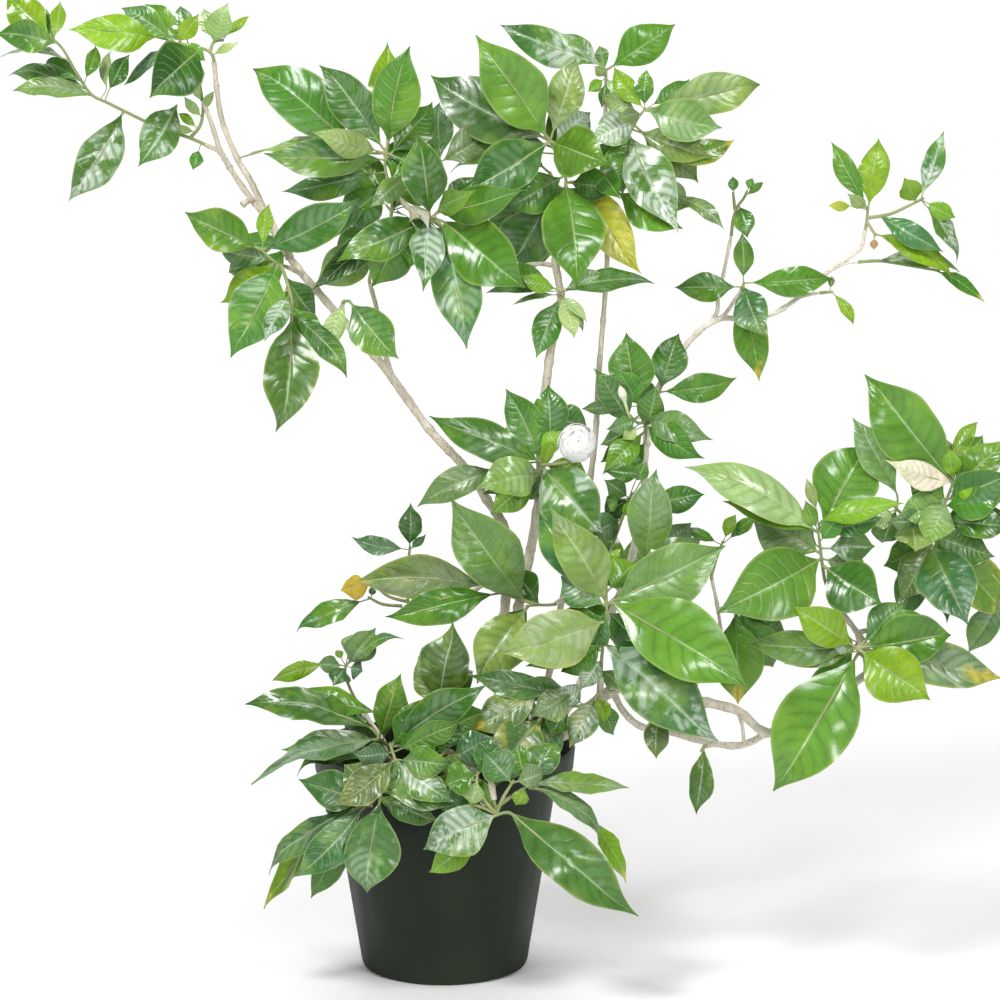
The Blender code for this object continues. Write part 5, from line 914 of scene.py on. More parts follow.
        [(366, 804, -0.122), (372, 806, -0.128)],
        [(366, 800, -0.121), (374, 794, -0.126), (388, 790, -0.128)],
    ], leaves=[
        ((362, 802), (298, 781), 39, 0.00, "dark"), ((358, 808), (264, 874), 26, 0.00, "blue"),
        ((362, 814), (294, 880), 39, -0.025, "blue"), ((384, 804), (365, 894), 56, -0.012, "blueMid"),
        ((350, 812), (267, 905), 26, 0.03, "freshTip"), ((352, 822), (311, 899), 32, 0.02, "mid"),
        ((380, 796), (463, 802), 25, -0.004, "blueMid"), ((380, 798), (344, 764), 37, 0.01, "brownish"),
        ((376, 800), (440, 824), 26, 0.002, "dark"), ((356, 800), (324, 813), 26, 0.01, "deep"),
        ((386, 792), (414, 764), 30, 0.008, "dark"),
    ]),
    "spray_skirt_mid": dict(on=("stem_low_front", 2), wavy=1.7, shade=0.78, twigs=[
        [(436, 750, -0.068), (432, 734, -0.05), (438, 706, -0.034)],
        [(436, 750, -0.068), (446, 752, -0.10), (456, 768, -0.126)],
        [(446, 752, -0.10), (440, 756, -0.118), (428, 762, -0.130)],
    ], leaves=[
        ((440, 702), (456, 623), 53, 0.00, "darkWarm"), ((486, 766), (430, 766), 24, 0.01, "brownish"),
        ((458, 768), (445, 815), 42, -0.016, "dark"), ((456, 758), (495, 737), 33, -0.01, "blue"),
        ((456, 790), (390, 805), 25, -0.01, "silver"), ((444, 760), (401, 777), 30, 0.00, "mid"),
        ((462, 776), (496, 815), 33, -0.010, "mid"), ((448, 782), (397, 818), 26, -0.002, "dark"),
        ((438, 758), (410, 737), 30, 0.01, "mid"), ((450, 752), (448, 713), 30, 0.02, "dark"),
        ((436, 706), (419, 657), 30, 0.02, "olive"), ((434, 730), (393, 711), 30, 0.01, "mid"),
        ((434, 734), (488, 710), 33, 0.01, "mid"), ((438, 712), (472, 665), 30, 0.03, "dark"),
    ]),
    "spray_skirt_front": dict(on=("stem_low_front", 0), wavy=1.6, shade=0.84, twigs=[
        [(496, 808, -0.131), (498, 816, -0.134)],
        [(496, 808, -0.131), (512, 796, -0.134), (530, 784, -0.134)],
        [(497, 814, -0.133), (486, 802, -0.138), (477, 784, -0.138), (478, 772, -0.134)],
        [(497, 812, -0.133), (504, 796, -0.139), (514, 780, -0.138)],
        [(497, 814, -0.133), (478, 806, -0.137), (464, 806, -0.137)],
    ], leaves=[
        ((494, 818), (421, 850), 50, -0.012, "silver"), ((480, 838), (429, 876), 28, 0.004, "fresh"),
        ((524, 778), (518, 744), 32, 0.01, "mid"), ((536, 784), (628, 790), 20, -0.01, "olive"),
        ((512, 814), (637, 919), 54, -0.02, "lastYellow"),
        ((538, 788), (604, 842), 22, -0.004, "grey", 0.25), ((534, 778), (558, 740), 34, 0.015, "blue"),
        ((594, 822), (626, 882), 20, 0.006, "freshTip"), ((478, 774), (444, 784), 34, -0.004, "mid"),
        ((514, 780), (484, 752), 38, -0.002, "blueMid"), ((518, 782), (546, 772), 28, 0.004, "grey"),
        ((478, 776), (500, 744), 36, 0.01, "dark"), ((466, 806), (444, 826), 20, -0.002, "fresh"),
        ((480, 780), (472, 806), 22, -0.004, "olive"), ((524, 786), (516, 806), 18, -0.002, "fresh"),
    ]),
}


# tubes

weld = 0.00002  # points of a tube that lie closer than this are joined


def flowing(points, radii, step):
    # a smooth run through the points, with a ring at about every step
    chain = [points[0] * 2 - points[1]] + list(points) + [points[-1] * 2 - points[-2]]
    knots = [0.0]
    for start, end in zip(chain, chain[1:]):
        knots.append(knots[-1] + max((end - start).length, 1e-6) ** 0.5)
    places, sizes = [], []
    for n in range(1, len(chain) - 2):
        p = chain[n - 1:n + 3]
        k = knots[n - 1:n + 3]
        count = max(1, ceil((p[2] - p[1]).length / step))
        for m in range(count):
            t = k[1] + (k[2] - k[1]) * m / count
            one = p[0].lerp(p[1], (t - k[0]) / (k[1] - k[0]))
            two = p[1].lerp(p[2], (t - k[1]) / (k[2] - k[1]))
            three = p[2].lerp(p[3], (t - k[2]) / (k[3] - k[2]))
            one = one.lerp(two, (t - k[0]) / (k[2] - k[0]))
            two = two.lerp(three, (t - k[1]) / (k[3] - k[1]))
            places.append(one.lerp(two, (t - k[1]) / (k[2] - k[1])))
            sizes.append(radii[n - 1] + (radii[n] - radii[n - 1]) * m / count)
    return places + [points[-1]], sizes + [radii[-1]]


def thinning(first, last, count):
    return [first + (last - first) * n / (count - 1) for n in range(count)]


# round tubes along routes of (places, radii), as one piece with closed ends
def makeTubes(name, routes, sides, finish):
    curve = bpy.data.curves.new(name, "CURVE")
    curve.dimensions = "3D"
    curve.bevel_depth = 1.0
    curve.bevel_resolution = (sides - 4) // 2
    curve.use_fill_caps = True
    for places, radii in routes:
        spline = curve.splines.new("POLY")
        spline.points.add(len(places) - 1)
        for spot, place, radius in zip(spline.points, places, radii):
            spot.co = (*place, 1.0)
            spot.radius = radius
    tube = bpy.data.objects.new(name, curve)
    bpy.context.scene.collection.objects.link(tube)
    pickUp(tube)
    bpy.ops.object.convert(target="MESH")
    tube = bpy.context.object
    bpy.ops.object.mode_set(mode="EDIT")
    bpy.ops.mesh.select_all(action="SELECT")
    bpy.ops.mesh.remove_doubles(threshold=weld)
    bpy.ops.mesh.normals_make_consistent(inside=False)
    bpy.ops.object.mode_set(mode="OBJECT")
    tube.data.materials.clear()
    tube.data.materials.append(finish)
    return tube


def paintPoints(piece, label, values):
    layer = piece.data.attributes.new(label, "FLOAT", "POINT")
    layer.data.foreach_set("value", np.asarray(values, np.float32))


def finishPiece(piece, nodes, angle=50):
    pickUp(piece)
    bpy.ops.object.shade_smooth_by_angle(angle=radians(angle))
    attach(piece, "root")
    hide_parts(*nodes)
    return piece


# woody stems

wood = dict(
    sides=12, ring=0.0035, soilTop=0.166, holeDepth=0.040, gap=0.0003, upright=0.012,
    nodeEvery=(0.020, 0.036), nodeSwell=0.20, nodeLength=0.0020, flare=0.30, flareLength=0.005,
    uneven=((0.05, 310, 1), (0.04, 137, 2)),  # how much, how often along a branch, turn by branch
    tone=dict(stem_left=0.15, stem_middle=0.30, stem_thin=0.30, stem_upper_right=0.85,
              stem_right=0.40, stem_low_left=0.10, stem_low_front=0.15),
)


def woodRoutes(stem):
    routes = []
    for n, (places, first, last) in enumerate(stem["branches"]):
        points = [seenPoint(*place) for place in places]
        if n == 0:
            x, y = stem["foot"]
            top = wood["soilTop"]
            heights = (top - wood["holeDepth"] + wood["gap"], top - wood["upright"], top + wood["upright"])
            points = [Vector((x, y, height)) for height in heights] + points
        routes.append((points, first, last))
    return routes


def makeStem(name, stem):
    draw = random.Random(name)
    routes = []
    for n, (points, first, last) in enumerate(woodRoutes(stem)):
        places, radii = flowing(points, thinning(first, last, len(points)), wood["ring"])
        run = [0.0]
        for start, end in zip(places, places[1:]):
            run.append(run[-1] + (end - start).length)
        knots = []
        spot = draw.uniform(*wood["nodeEvery"])
        while spot < run[-1]:
            knots.append(spot)
            spot += draw.uniform(*wood["nodeEvery"])
        sizes = []
        for place, radius in zip(run, radii):
            swell = sum(exp(-((place - knot) / wood["nodeLength"]) ** 2) for knot in knots)
            rootward = exp(-place / wood["flareLength"]) if n else 0.0
            uneven = sum(much * sin(place * often + turn * n) for much, often, turn in wood["uneven"])
            sizes.append(radius * (1 + wood["nodeSwell"] * swell + wood["flare"] * rootward + uneven))
        routes.append((places, sizes))
    stemPiece = makeTubes("wood_" + name, routes, wood["sides"], finishes["paleBark"])
    paintPoints(stemPiece, "woodTone", [wood["tone"][name]] * len(stemPiece.data.vertices))
    return finishPiece(stemPiece, [name], angle=60)


for name, stem in stems.items():
    makeStem(name, stem)
print("woody stems grown:", len(stems))


# leaves

leaf = dict(
    # shares of a leaf's width or length
    wave=0.062, ripple=0.042, crumple=0.014, nibble=0.035, belly=0.12, lopsided=0.08, cup=0.10,
    tipDrop=(-0.03, 0.07), tipSwing=0.045, tipFrom=0.72, sway=0.035, arch=0.09, slant=0.13,
    slimBlade=0.33, leastShown=0.30, longRib=0.72, shortRib=0.25,
    footLean=0.10,  # the share of a tip's depth behind its foot that the foot already has
    # angles, and the width in pixels from which a blade is folded more
    twist=0.45, fold=radians(14), softFold=radians(7), foldedFrom=44,
    # how often the edge and the face go up and down
    rippleBeat=(15, 24), crumpleBeat=(6, 9), nibbleBeat=(8, 14),
    thickness=0.0006, midribPress=0.0007, calyx=0.0040, calyxRadius=0.0022,
    twigRadius=0.0017, twigEnd=0.0012, twigSides=8, twigRing=0.003, twigLead=0.002,
    # a stalk has its full radius where the blade's half width is the usual one
    shortestStalk=0.004, longStalk=0.011, stalkRadius=0.00105, stalkRange=(0.45, 1.25), usualHalf=0.018,
    ribSides=6, ribRings=7, ribSink=0.0007, ribDrop=0.0003,
    # how a leaf differs from its tone
    light=(0.86, 1.16), warm=(0.88, 1.12),
    # smallest width in pixels, cells across, cells along, how deep the quilting is
    masters=dict(large=(30, 8, 22, 0.0005), middle=(17, 6, 14, 0.0), small=(0, 4, 8, 0.0)),
)
# linear red, green and blue, how far it has yellowed at the tip, the edge and in patches, and how strong
# its painted sheen is
leafTones = dict(
    bright=(0.122, 0.278, 0.027, 0, 0, 0, 0), fresh=(0.185, 0.370, 0.010, 0, 0, 0.1, 0),
    mid=(0.078, 0.232, 0.020, 0, 0, 0, 0), dark=(0.052, 0.170, 0.018, 0, 0, 0, 0.12),
    deep=(0.026, 0.095, 0.010, 0, 0, 0, 0), blue=(0.055, 0.170, 0.040, 0, 0, 0, 0.15),
    grey=(0.120, 0.230, 0.065, 0, 0, 0, 0.15), silver=(0.080, 0.205, 0.040, 0, 0, 0, 0.75),
    pale=(0.320, 0.440, 0.140, 0, 0, 0, 0.12), olive=(0.170, 0.300, 0.065, 0, 0, 0.1, 0.20),
    yellow=(0.380, 0.430, 0.030, 0.3, 0.2, 0.4, 0), cream=(0.740, 0.690, 0.580, 0, 0, 0, 0.2),
    tan=(0.400, 0.270, 0.110, 0.4, 0.3, 0.3, 0), yellowTip=(0.085, 0.240, 0.020, 0.9, 0.1, 0, 0),
    freshTip=(0.195, 0.370, 0.012, 0.8, 0.2, 0, 0), yellowEdge=(0.100, 0.235, 0.020, 0.9, 0.5, 0, 0),
    patched=(0.085, 0.195, 0.050, 0.20, 0.2, 0.40, 0.55), freshMid=(0.120, 0.285, 0.020, 0, 0, 0.1, 0),
    brownish=(0.110, 0.185, 0.040, 0.2, 0.2, 0.1, 0.05),
    gold=(0.560, 0.420, 0.035, 0.9, 0.3, 0.2, 0), brownTip=(0.135, 0.205, 0.065, 0.65, 0.2, 0.1, 0.15),
    streaked=(0.070, 0.190, 0.040, 0, 0, 0, 0.50), softMid=(0.112, 0.255, 0.052, 0, 0, 0, 0.08),
    greyWorn=(0.085, 0.190, 0.050, 0.7, 0.2, 0.2, 0.5), veined=(0.235, 0.330, 0.120, 0, 0.3, 0.05, 0.2),
    darkWarm=(0.070, 0.165, 0.020, 0, 0, 0.1, 0.10), blueMid=(0.075, 0.200, 0.045, 0, 0, 0, 0.25),
    greyTip=(0.125, 0.235, 0.075, 1.0, 0.3, 0, 0.2), lastYellow=(0.080, 0.200, 0.030, 0.25, 0.1, 0, 0.1),
)


# the blade's outline: places along it, and the share of its widest there
bladeOutline = (
    (0.0, 0.03), (0.04, 0.07), (0.09, 0.22), (0.15, 0.45), (0.23, 0.72), (0.33, 0.92), (0.43, 1.0),
    (0.53, 0.99), (0.62, 0.92), (0.70, 0.78), (0.77, 0.59), (0.83, 0.40), (0.88, 0.25), (0.92, 0.14),
    (0.96, 0.065), (1.0, 0.012),
)


def bladeShare(t):
    # the share of the half width at this place along the midrib, smoothed between the outline's places
    near = np.clip(t + np.linspace(-0.015, 0.015, 7), 0.0, 1.0)
    return float(np.mean(np.interp(near, *zip(*bladeOutline))))


# One flat leaf blade of length 1 and half width 1, foot at Y = 0. Its grid is drawn in row by row to
# the outline, the rows are slanted along the veins, the midrib is pressed in and it gets its thickness.
def makeLeafMaster(name, across, along, quilt):
    bpy.ops.mesh.primitive_grid_add(x_subdivisions=across, y_subdivisions=along, size=2.0)
    blade = bpy.context.object
    blade.name = "master_" + name
    mesh = blade.data
    spots = np.empty(len(mesh.vertices) * 3)
    mesh.vertices.foreach_get("co", spots)
    spots = spots.reshape(-1, 3)
    column = np.rint((spots[:, 0] + 1) / 2 * across).astype(int)
    row = np.rint((spots[:, 1] + 1) / 2 * along).astype(int)
    even = np.linspace(-1, 1, across + 1)
    near = np.sign(even) * np.abs(even) ** (1.25 if across < 8 else 1.45)  # crowded by the midrib
    start = 1 - (1 - row / along) ** 1.3  # rows crowd towards the tip
    share = np.abs(near[column])
    slant = leaf["slant"] * np.sin(np.pi * start) ** 0.8 * share * (1 + 0.35 * share)
    place = np.clip(start + slant, 0.0, 1.0)
    spots[:, 0] = near[column] * np.array([bladeShare(t) for t in place])
    spots[:, 1] = place
    bulge = np.where(row % 2 == 1, 1.0, 0.0) * np.sin(np.pi * np.minimum(share * 1.05, 1.0)) ** 0.7
    spots[:, 2] = quilt * bulge * np.sin(np.pi * start) ** 0.5
    mesh.vertices.foreach_set("co", spots.ravel())
    bpy.ops.object.mode_set(mode="EDIT")
    bpy.ops.mesh.select_mode(type="VERT")
    bpy.ops.mesh.select_all(action="DESELECT")
    bpy.ops.object.mode_set(mode="OBJECT")
    for n, vert in enumerate(mesh.vertices):
        vert.select = bool(column[n] == across // 2)
    bpy.ops.object.mode_set(mode="EDIT")
    bpy.ops.transform.translate(value=(0.0, 0.0, -leaf["midribPress"]))
    bpy.ops.object.mode_set(mode="OBJECT")
    wall = blade.modifiers.new("thickness", "SOLIDIFY")
    wall.thickness = leaf["thickness"]
    wall.offset = 0.0
    bpy.ops.object.modifier_apply(modifier="thickness")
    mesh = blade.data
    under = mesh.attributes.new("underside", "FLOAT", "FACE")
    under.data.foreach_set("value", [float(face.normal.z < -0.2) for face in mesh.polygons])
    mesh.materials.append(finishes["glossyLeaf"])
    return blade


leafMasters = {}
for name, (least, across, along, quilt) in leaf["masters"].items():
    blade = makeLeafMaster(name, across, along, quilt)
    spots = np.empty(len(blade.data.vertices) * 3)
    blade.data.vertices.foreach_get("co", spots)
    leafMasters[name] = (least, blade, spots.reshape(-1, 3))


def twigRoutes(spray):
    stem, branch = spray["on"]
    last = woodRoutes(stems[stem])[branch][0]
    onward = (last[-1] - last[-2]).normalized()
    routes = []
    for n, places in enumerate(spray["twigs"]):
        points = [seenPoint(*place) for place in places]
        if n == 0:
            gap = wood["gap"]
            points = [last[-1] + onward * gap, last[-1] + onward * (gap + leaf["twigLead"])] + points
        routes.append(points)
    return routes


def nearestRoot(routes, x, y):
    best = None
    for route in routes:
        for start, end in zip(route, route[1:]):
            for share in (0.2, 0.5, 0.8):
                place = start.lerp(end, share)
                atX, atY = pixelOf(place)
                miss = (atX - x) ** 2 + (atY - y) ** 2
                if best is None or miss < best[0]:
                    best = (miss, place)
    return best[1]


# the blade's real width and the way its upper face looks, from how wide the viewer sees it
def leafFrame(foot, tip, wide, turn):
    along = (tip - foot).normalized()
    middle = (foot + tip) / 2
    sight = (viewer["eye"] - middle).normalized()
    face = (sight - along * sight.dot(along)).normalized()
    side = along.cross(face)
    shown = wide * (middle - viewer["eye"]).dot(ahead) / viewer["focal"]
    width = max(shown, leaf["slimBlade"] * (tip - foot).length)
    roll = acos(max(min(shown / width, 1.0), leaf["leastShown"])) + turn
    ways = [face * cos(roll) + side * sin(roll) * way for way in (1, -1)]
    return width, max(ways, key=lambda way: way.z)


# the middle line of a leaf: where it is at t from 0 to 1, and its heading there
def bentLine(start, knee, end, t):
    t = t[:, None]
    start, knee, end = (np.array(point) for point in (start, knee, end))
    place = start * (1 - t) ** 2 + knee * 2 * t * (1 - t) + end * t ** 2
    heading = (knee - start) * (1 - t) + (end - knee) * t
    return place, heading / np.linalg.norm(heading, axis=1)[:, None]


def crossWays(heading, rise):
    rise = np.array(rise) - heading * (heading @ np.array(rise))[:, None]
    rise /= np.linalg.norm(rise, axis=1)[:, None]
    return np.cross(heading, rise), rise


def makeLeaf(name, number, root, foot, tip, wide, tone, arch, turn, wavy, shade):
    draw = random.Random(name + str(number))
    width, rise = leafFrame(foot, tip, wide, turn)
    stalked = (foot - root).length > leaf["longStalk"]
    start = foot if stalked else root
    length = (tip - start).length
    knee = (start + tip) / 2 + rise * 2 * arch * length
    skip = 0.0 if stalked else (foot - root).length / length
    least, master, spots = next(found for found in leafMasters.values() if wide >= found[0])

    piece = bpy.data.objects.new("leafCopy", master.data.copy())
    bpy.context.scene.collection.objects.link(piece)
    t = spots[:, 1]
    along = skip + (1 - skip) * t
    place, heading = bentLine(start, knee, tip, along)
    side, up = crossWays(heading, rise)
    across = spots[:, 0]
    half = width / 2
    sway = draw.uniform(-leaf["sway"], leaf["sway"]) * length
    bend = sway * np.sin(np.pi * t)
    late = np.maximum(t - leaf["tipFrom"], 0.0) / (1 - leaf["tipFrom"])
    bend += draw.uniform(-1, 1) * leaf["tipSwing"] * length * late ** 2
    fold = sin(leaf["fold"] if wide >= leaf["foldedFrom"] else leaf["softFold"]) * draw.uniform(0.5, 1.3)
    edge = np.abs(across)
    sideOf = np.sign(across)
    lift = fold * half * edge - leaf["cup"] * half * edge ** 3
    lift += leaf["wave"] * width * np.sin(7.0 * along + number + 1.6 * sideOf) * edge ** 1.5
    beat = draw.uniform(*leaf["rippleBeat"])
    lift += (leaf["ripple"] * wavy * width * draw.uniform(0.5, 1.0) * edge ** 2
             * np.sin(beat * t + draw.uniform(0, 6) + 2.1 * sideOf))
    lift += (leaf["crumple"] * wavy * length * np.sin(np.pi * t)
             * np.sin(draw.uniform(*leaf["crumpleBeat"]) * t + draw.uniform(0, 6) + 1.3 * across))
    lift -= draw.uniform(*leaf["tipDrop"]) * wavy * length * late ** 2
    lift += spots[:, 2] * min(1.0, 0.4 + half / 0.03) * draw.uniform(0.3, 1.1)
    reach = half * across * (1 + leaf["nibble"] * wavy * np.sin(
        draw.uniform(*leaf["nibbleBeat"]) * t + draw.uniform(0, 6) + 1.7 * sideOf))
    reach *= 1 + draw.uniform(-1, 1) * leaf["belly"] * np.cos(np.pi * t)
    reach *= 1 + draw.uniform(-1, 1) * leaf["lopsided"] * sideOf
    roll = draw.uniform(-1, 1) * leaf["twist"] * wavy * (t - 0.15)
    out = reach * np.cos(roll) - lift * np.sin(roll)
    lift = reach * np.sin(roll) + lift * np.cos(roll)
    made = place + side * (out + bend)[:, None] + up * lift[:, None]
    piece.data.vertices.foreach_set("co", made.ravel())

    colour = leafTones[tone]
    light = draw.uniform(*leaf["light"]) * shade
    warm = draw.uniform(*leaf["warm"])
    own = (colour[0] * light * warm, colour[1] * light, colour[2] * light / warm, draw.random())
    # the tone's last value, the strength of its painted sheen, goes with the wear
    for label, value in (("leafColour", own), ("leafWearAndSheen", colour[3:])):
        layer = piece.data.attributes.new(label, "FLOAT_COLOR", "POINT")
        layer.data.foreach_set("color", np.tile(np.float32(value), len(piece.data.vertices)))

    # the stalk runs on under the blade as its midrib
    thinnest, thickest = leaf["stalkRange"]
    size = leaf["stalkRadius"] * min(max(half / leaf["usualHalf"], thinnest), thickest)
    rings = leaf["ribRings"]
    ribEnd = leaf["longRib"] if wide >= leaf["masters"]["middle"][0] else leaf["shortRib"]
    blade = np.linspace(0.0, ribEnd, rings)
    place, heading = bentLine(start, knee, tip, skip + (1 - skip) * blade)
    side, up = crossWays(heading, rise)
    place -= up * (leaf["ribSink"] + leaf["ribDrop"] * (blade[:, None] > 0))
    place += side * (sway * np.sin(np.pi * blade))[:, None]
    rib = [Vector(spot) for spot in place]
    if stalked:
        reach = (foot - root).length
        lead = rib[0] - Vector(heading[0]) * 0.4 * reach
        stalk = [root * (1 - u) ** 2 + lead * 2 * u * (1 - u) + rib[0] * u ** 2
                 for u in (0, 0.25, 0.5, 0.75)]
    else:
        stalk = [root, root.lerp(rib[0], 0.5)]
    route = stalk + rib
    radii = [size * 1.15] * len(stalk) + [size * (1 - 0.75 * n / (rings - 1)) for n in range(rings)]
    return piece, (route, radii)


flower = dict(
    on=("spray_middle", 1), centre=(577, 443, -0.062), radius=0.0165, facing=(0.10, -1.0, 0.30),
    # petals, radius, half width, and the angles from the bloom's axis where they start and end
    rounds=((5, 0.97, 0.74, 160, 70), (5, 0.955, 0.70, 145, 54), (5, 0.92, 0.64, 125, 40),
            (4, 0.875, 0.62, 105, 27), (4, 0.82, 0.56, 90, 14), (3, 0.76, 0.60, 75, 0),
            (3, 0.69, 0.60, 60, -14)),
    # places along a petal, and the share of its widest there
    outline=((0.0, 0.20), (0.12, 0.36), (0.35, 0.72), (0.60, 0.98), (0.80, 0.98), (0.92, 0.80),
             (0.97, 0.58), (1.0, 0.30)),
    overlap=0.05, flare=0.05, flareSpread=(0.3, 1.6), ripple=0.012, reachSpread=(0.985, 1.02),
    leanSpread=8, roundTurn=0.5, petalTurn=0.25, across=8, along=12, thickness=0.0003,
    tubeRadius=0.0012, tubeFlare=1.7, tubeLead=0.003, tubeEnd=0.0015, tubeRing=0.0015, tubeSides=12,
)
bud = dict(
    on=("spray_middle_right", 2), tip=(620, 386, -0.026), lead=0.003, ring=0.0012, sides=20,
    ridges=5, ridgeDepth=0.10, twist=3.0,
    # shares of the bud's length, and the radius there
    shape=((0.00, 0.0012), (0.45, 0.0015), (0.70, 0.0036), (0.86, 0.0030), (1.00, 0.0006)),
)


def calyxEnd(route):
    onward = (route[-1] - route[-2]).normalized()
    return route[-1] + onward * leaf["calyx"], onward


def makeSpray(name, spray):
    routes = twigRoutes(spray)
    twigs = []
    blooming = (flower["on"], bud["on"])
    for n, route in enumerate(routes):
        radii = thinning(leaf["twigRadius"], leaf["twigEnd"], len(route))
        if (name, n) in blooming:
            route = route + [calyxEnd(route)[0]]
            radii.append(leaf["calyxRadius"])
        twigs.append(flowing(route, radii, leaf["twigRing"]))
    rooting = [routes[0][1:]]
    rooting += [route for n, route in enumerate(routes) if n and (name, n) not in blooming]
    blades, ribs = [], []
    for n, ((x, y), (tipX, tipY), wide, away, tone, *rest) in enumerate(spray["leaves"]):
        arch = rest[0] if rest else leaf["arch"]
        turn = rest[1] if len(rest) > 1 else 0.0
        root = nearestRoot(rooting, x, y)
        foot = seenPoint(x, y, root.y + leaf["footLean"] * away)
        tip = seenPoint(tipX, tipY, root.y + away)
        short = leaf["shortestStalk"] - (foot - root).length
        if short > 0:
            foot = foot + (tip - foot).normalized() * short
        blade, rib = makeLeaf(name, n, root, foot, tip, wide, tone, arch, turn,
                              spray.get("wavy", 1.0), spray.get("shade", 1.0))
        blades.append(blade)
        ribs.append(rib)
    twigPiece = makeTubes("twigs", twigs, leaf["twigSides"], finishes["greenTwig"])
    ribPiece = makeTubes("ribs", ribs, leaf["ribSides"], finishes["greenTwig"])
    pickUp(blades[0], *blades[1:], twigPiece, ribPiece)
    bpy.ops.object.join()
    shoot = bpy.context.object
    shoot.name = "leaves_" + name.replace("spray_", "")
    return finishPiece(shoot, [name], angle=55)


for name, spray in sprays.items():
    makeSpray(name, spray)
for least, blade, spots in leafMasters.values():
    bpy.data.objects.remove(blade, do_unlink=True)
print("leafy shoots grown:", len(sprays))


# the bloom and the bud

def makePetalMaster():
    across, along = flower["across"], flower["along"]
    bpy.ops.mesh.primitive_grid_add(x_subdivisions=across, y_subdivisions=along, size=2.0)
    petal = bpy.context.object
    petal.name = "master_petal"
    bpy.ops.object.mode_set(mode="EDIT")
    bpy.ops.mesh.select_mode(type="VERT")
    for n in range(along + 1):  # each row is drawn in to the petal's outline
        t = n / along
        share = np.interp(t, *zip(*flower["outline"]))
        height = 2.0 * t - 1.0
        bpy.ops.mesh.select_all(action="DESELECT")
        bpy.ops.object.mode_set(mode="OBJECT")
        for vert in petal.data.vertices:
            vert.select = abs(vert.co.y - height) < 0.001
        bpy.ops.object.mode_set(mode="EDIT")
        bpy.ops.transform.resize(value=(share, 1.0, 1.0), center_override=(0.0, height, 0.0))
    bpy.ops.object.mode_set(mode="OBJECT")
    wall = petal.modifiers.new("thickness", "SOLIDIFY")
    wall.thickness = flower["thickness"]
    wall.offset = 0.0
    bpy.ops.object.modifier_apply(modifier="thickness")
    petal.data.materials.append(finishes["whitePetal"])
    return petal


def makeFlower():
    draw = random.Random("bloom")
    shoot, n = flower["on"]
    start, axis = calyxEnd(twigRoutes(sprays[shoot])[n])
    centre = seenPoint(*flower["centre"])
    gap = wood["gap"]
    route = [start + axis * gap, start + axis * (gap + flower["tubeLead"]), centre]
    axis = (centre - route[1]).normalized()
    route[2] = centre + axis * flower["tubeEnd"]
    radius = flower["tubeRadius"]
    tube = flowing(route, [radius, radius, radius * flower["tubeFlare"]], flower["tubeRing"])
    pieces = [makeTubes("bloomTube", [tube], flower["tubeSides"], finishes["whitePetal"])]
    axis = Vector(flower["facing"]).normalized()
    side = axis.orthogonal().normalized()
    third = axis.cross(side)
    master = makePetalMaster()
    spots = np.empty(len(master.data.vertices) * 3)
    master.data.vertices.foreach_get("co", spots)
    spots = spots.reshape(-1, 3)
    t = (spots[:, 1] + 1) / 2
    across = spots[:, 0]
    for level, (count, share, wide, start, end) in enumerate(flower["rounds"]):
        for n in range(count):
            reach = flower["radius"] * share * draw.uniform(*flower["reachSpread"])
            lean = draw.uniform(-flower["leanSpread"], flower["leanSpread"])
            down = np.radians(start + (end + lean - start) * t)
            turn = 2 * pi * n / count + flower["roundTurn"] * level
            turn = turn + draw.uniform(-flower["petalTurn"], flower["petalTurn"])
            turn = turn + wide * across / np.maximum(np.sin(down), 0.30)
            flare = flower["flare"] * t ** 5 * draw.uniform(*flower["flareSpread"])
            out = reach * (1 + flower["overlap"] * across + flare)
            ripple = np.sin(7 * t + 3 * across + draw.uniform(0, 6))
            out = out + reach * flower["ripple"] * ripple + spots[:, 2]
            made = (np.array(centre) + np.outer(out * np.cos(down), axis)
                    + np.outer(out * np.sin(down) * np.cos(turn), side)
                    + np.outer(out * np.sin(down) * np.sin(turn), third))
            petal = bpy.data.objects.new("petalCopy", master.data.copy())
            bpy.context.scene.collection.objects.link(petal)
            petal.data.vertices.foreach_set("co", made.ravel())
            pieces.append(petal)
    bpy.data.objects.remove(master, do_unlink=True)
    pickUp(pieces[1], *pieces[2:], pieces[0])
    bpy.ops.object.join()
    bloom = bpy.context.object
    bloom.name = "whiteBloom"
    finishPiece(bloom, ["flower"])


def makeBud():
    shoot, n = bud["on"]
    start, onward = calyxEnd(twigRoutes(sprays[shoot])[n])
    low = start + onward * (wood["gap"] + bud["lead"])
    tip = seenPoint(*bud["tip"])
    route = [start + onward * wood["gap"]] + [low.lerp(tip, t) for t, radius in bud["shape"]]
    radii = [bud["shape"][0][1]] + [radius for t, radius in bud["shape"]]
    closed = makeTubes("closedBud", [flowing(route, radii, bud["ring"])], bud["sides"], finishes["budSkin"])
    axis = (tip - low).normalized()
    side = axis.orthogonal().normalized()
    turn = axis.cross(side)
    ripe = []
    for vert in closed.data.vertices:  # the furled petals wind round the bud
        t = (vert.co - low).dot(axis) / (tip - low).length
        middle = low + axis * (vert.co - low).dot(axis)
        out = vert.co - middle
        angle = np.arctan2(out.dot(turn), out.dot(side))
        if t > 0:
            ridge = cos(bud["ridges"] * angle + bud["twist"] * 2 * t)
            vert.co = middle + out * (1 + bud["ridgeDepth"] * min(t * 2, 1) * ridge)
        ripe.append(max(t, 0.0))
    paintPoints(closed, "ripe", ripe)
    finishPiece(closed, ["bud"], angle=60)


makeFlower()
makeBud()
print("bloom and bud made")


# the pot and its soil

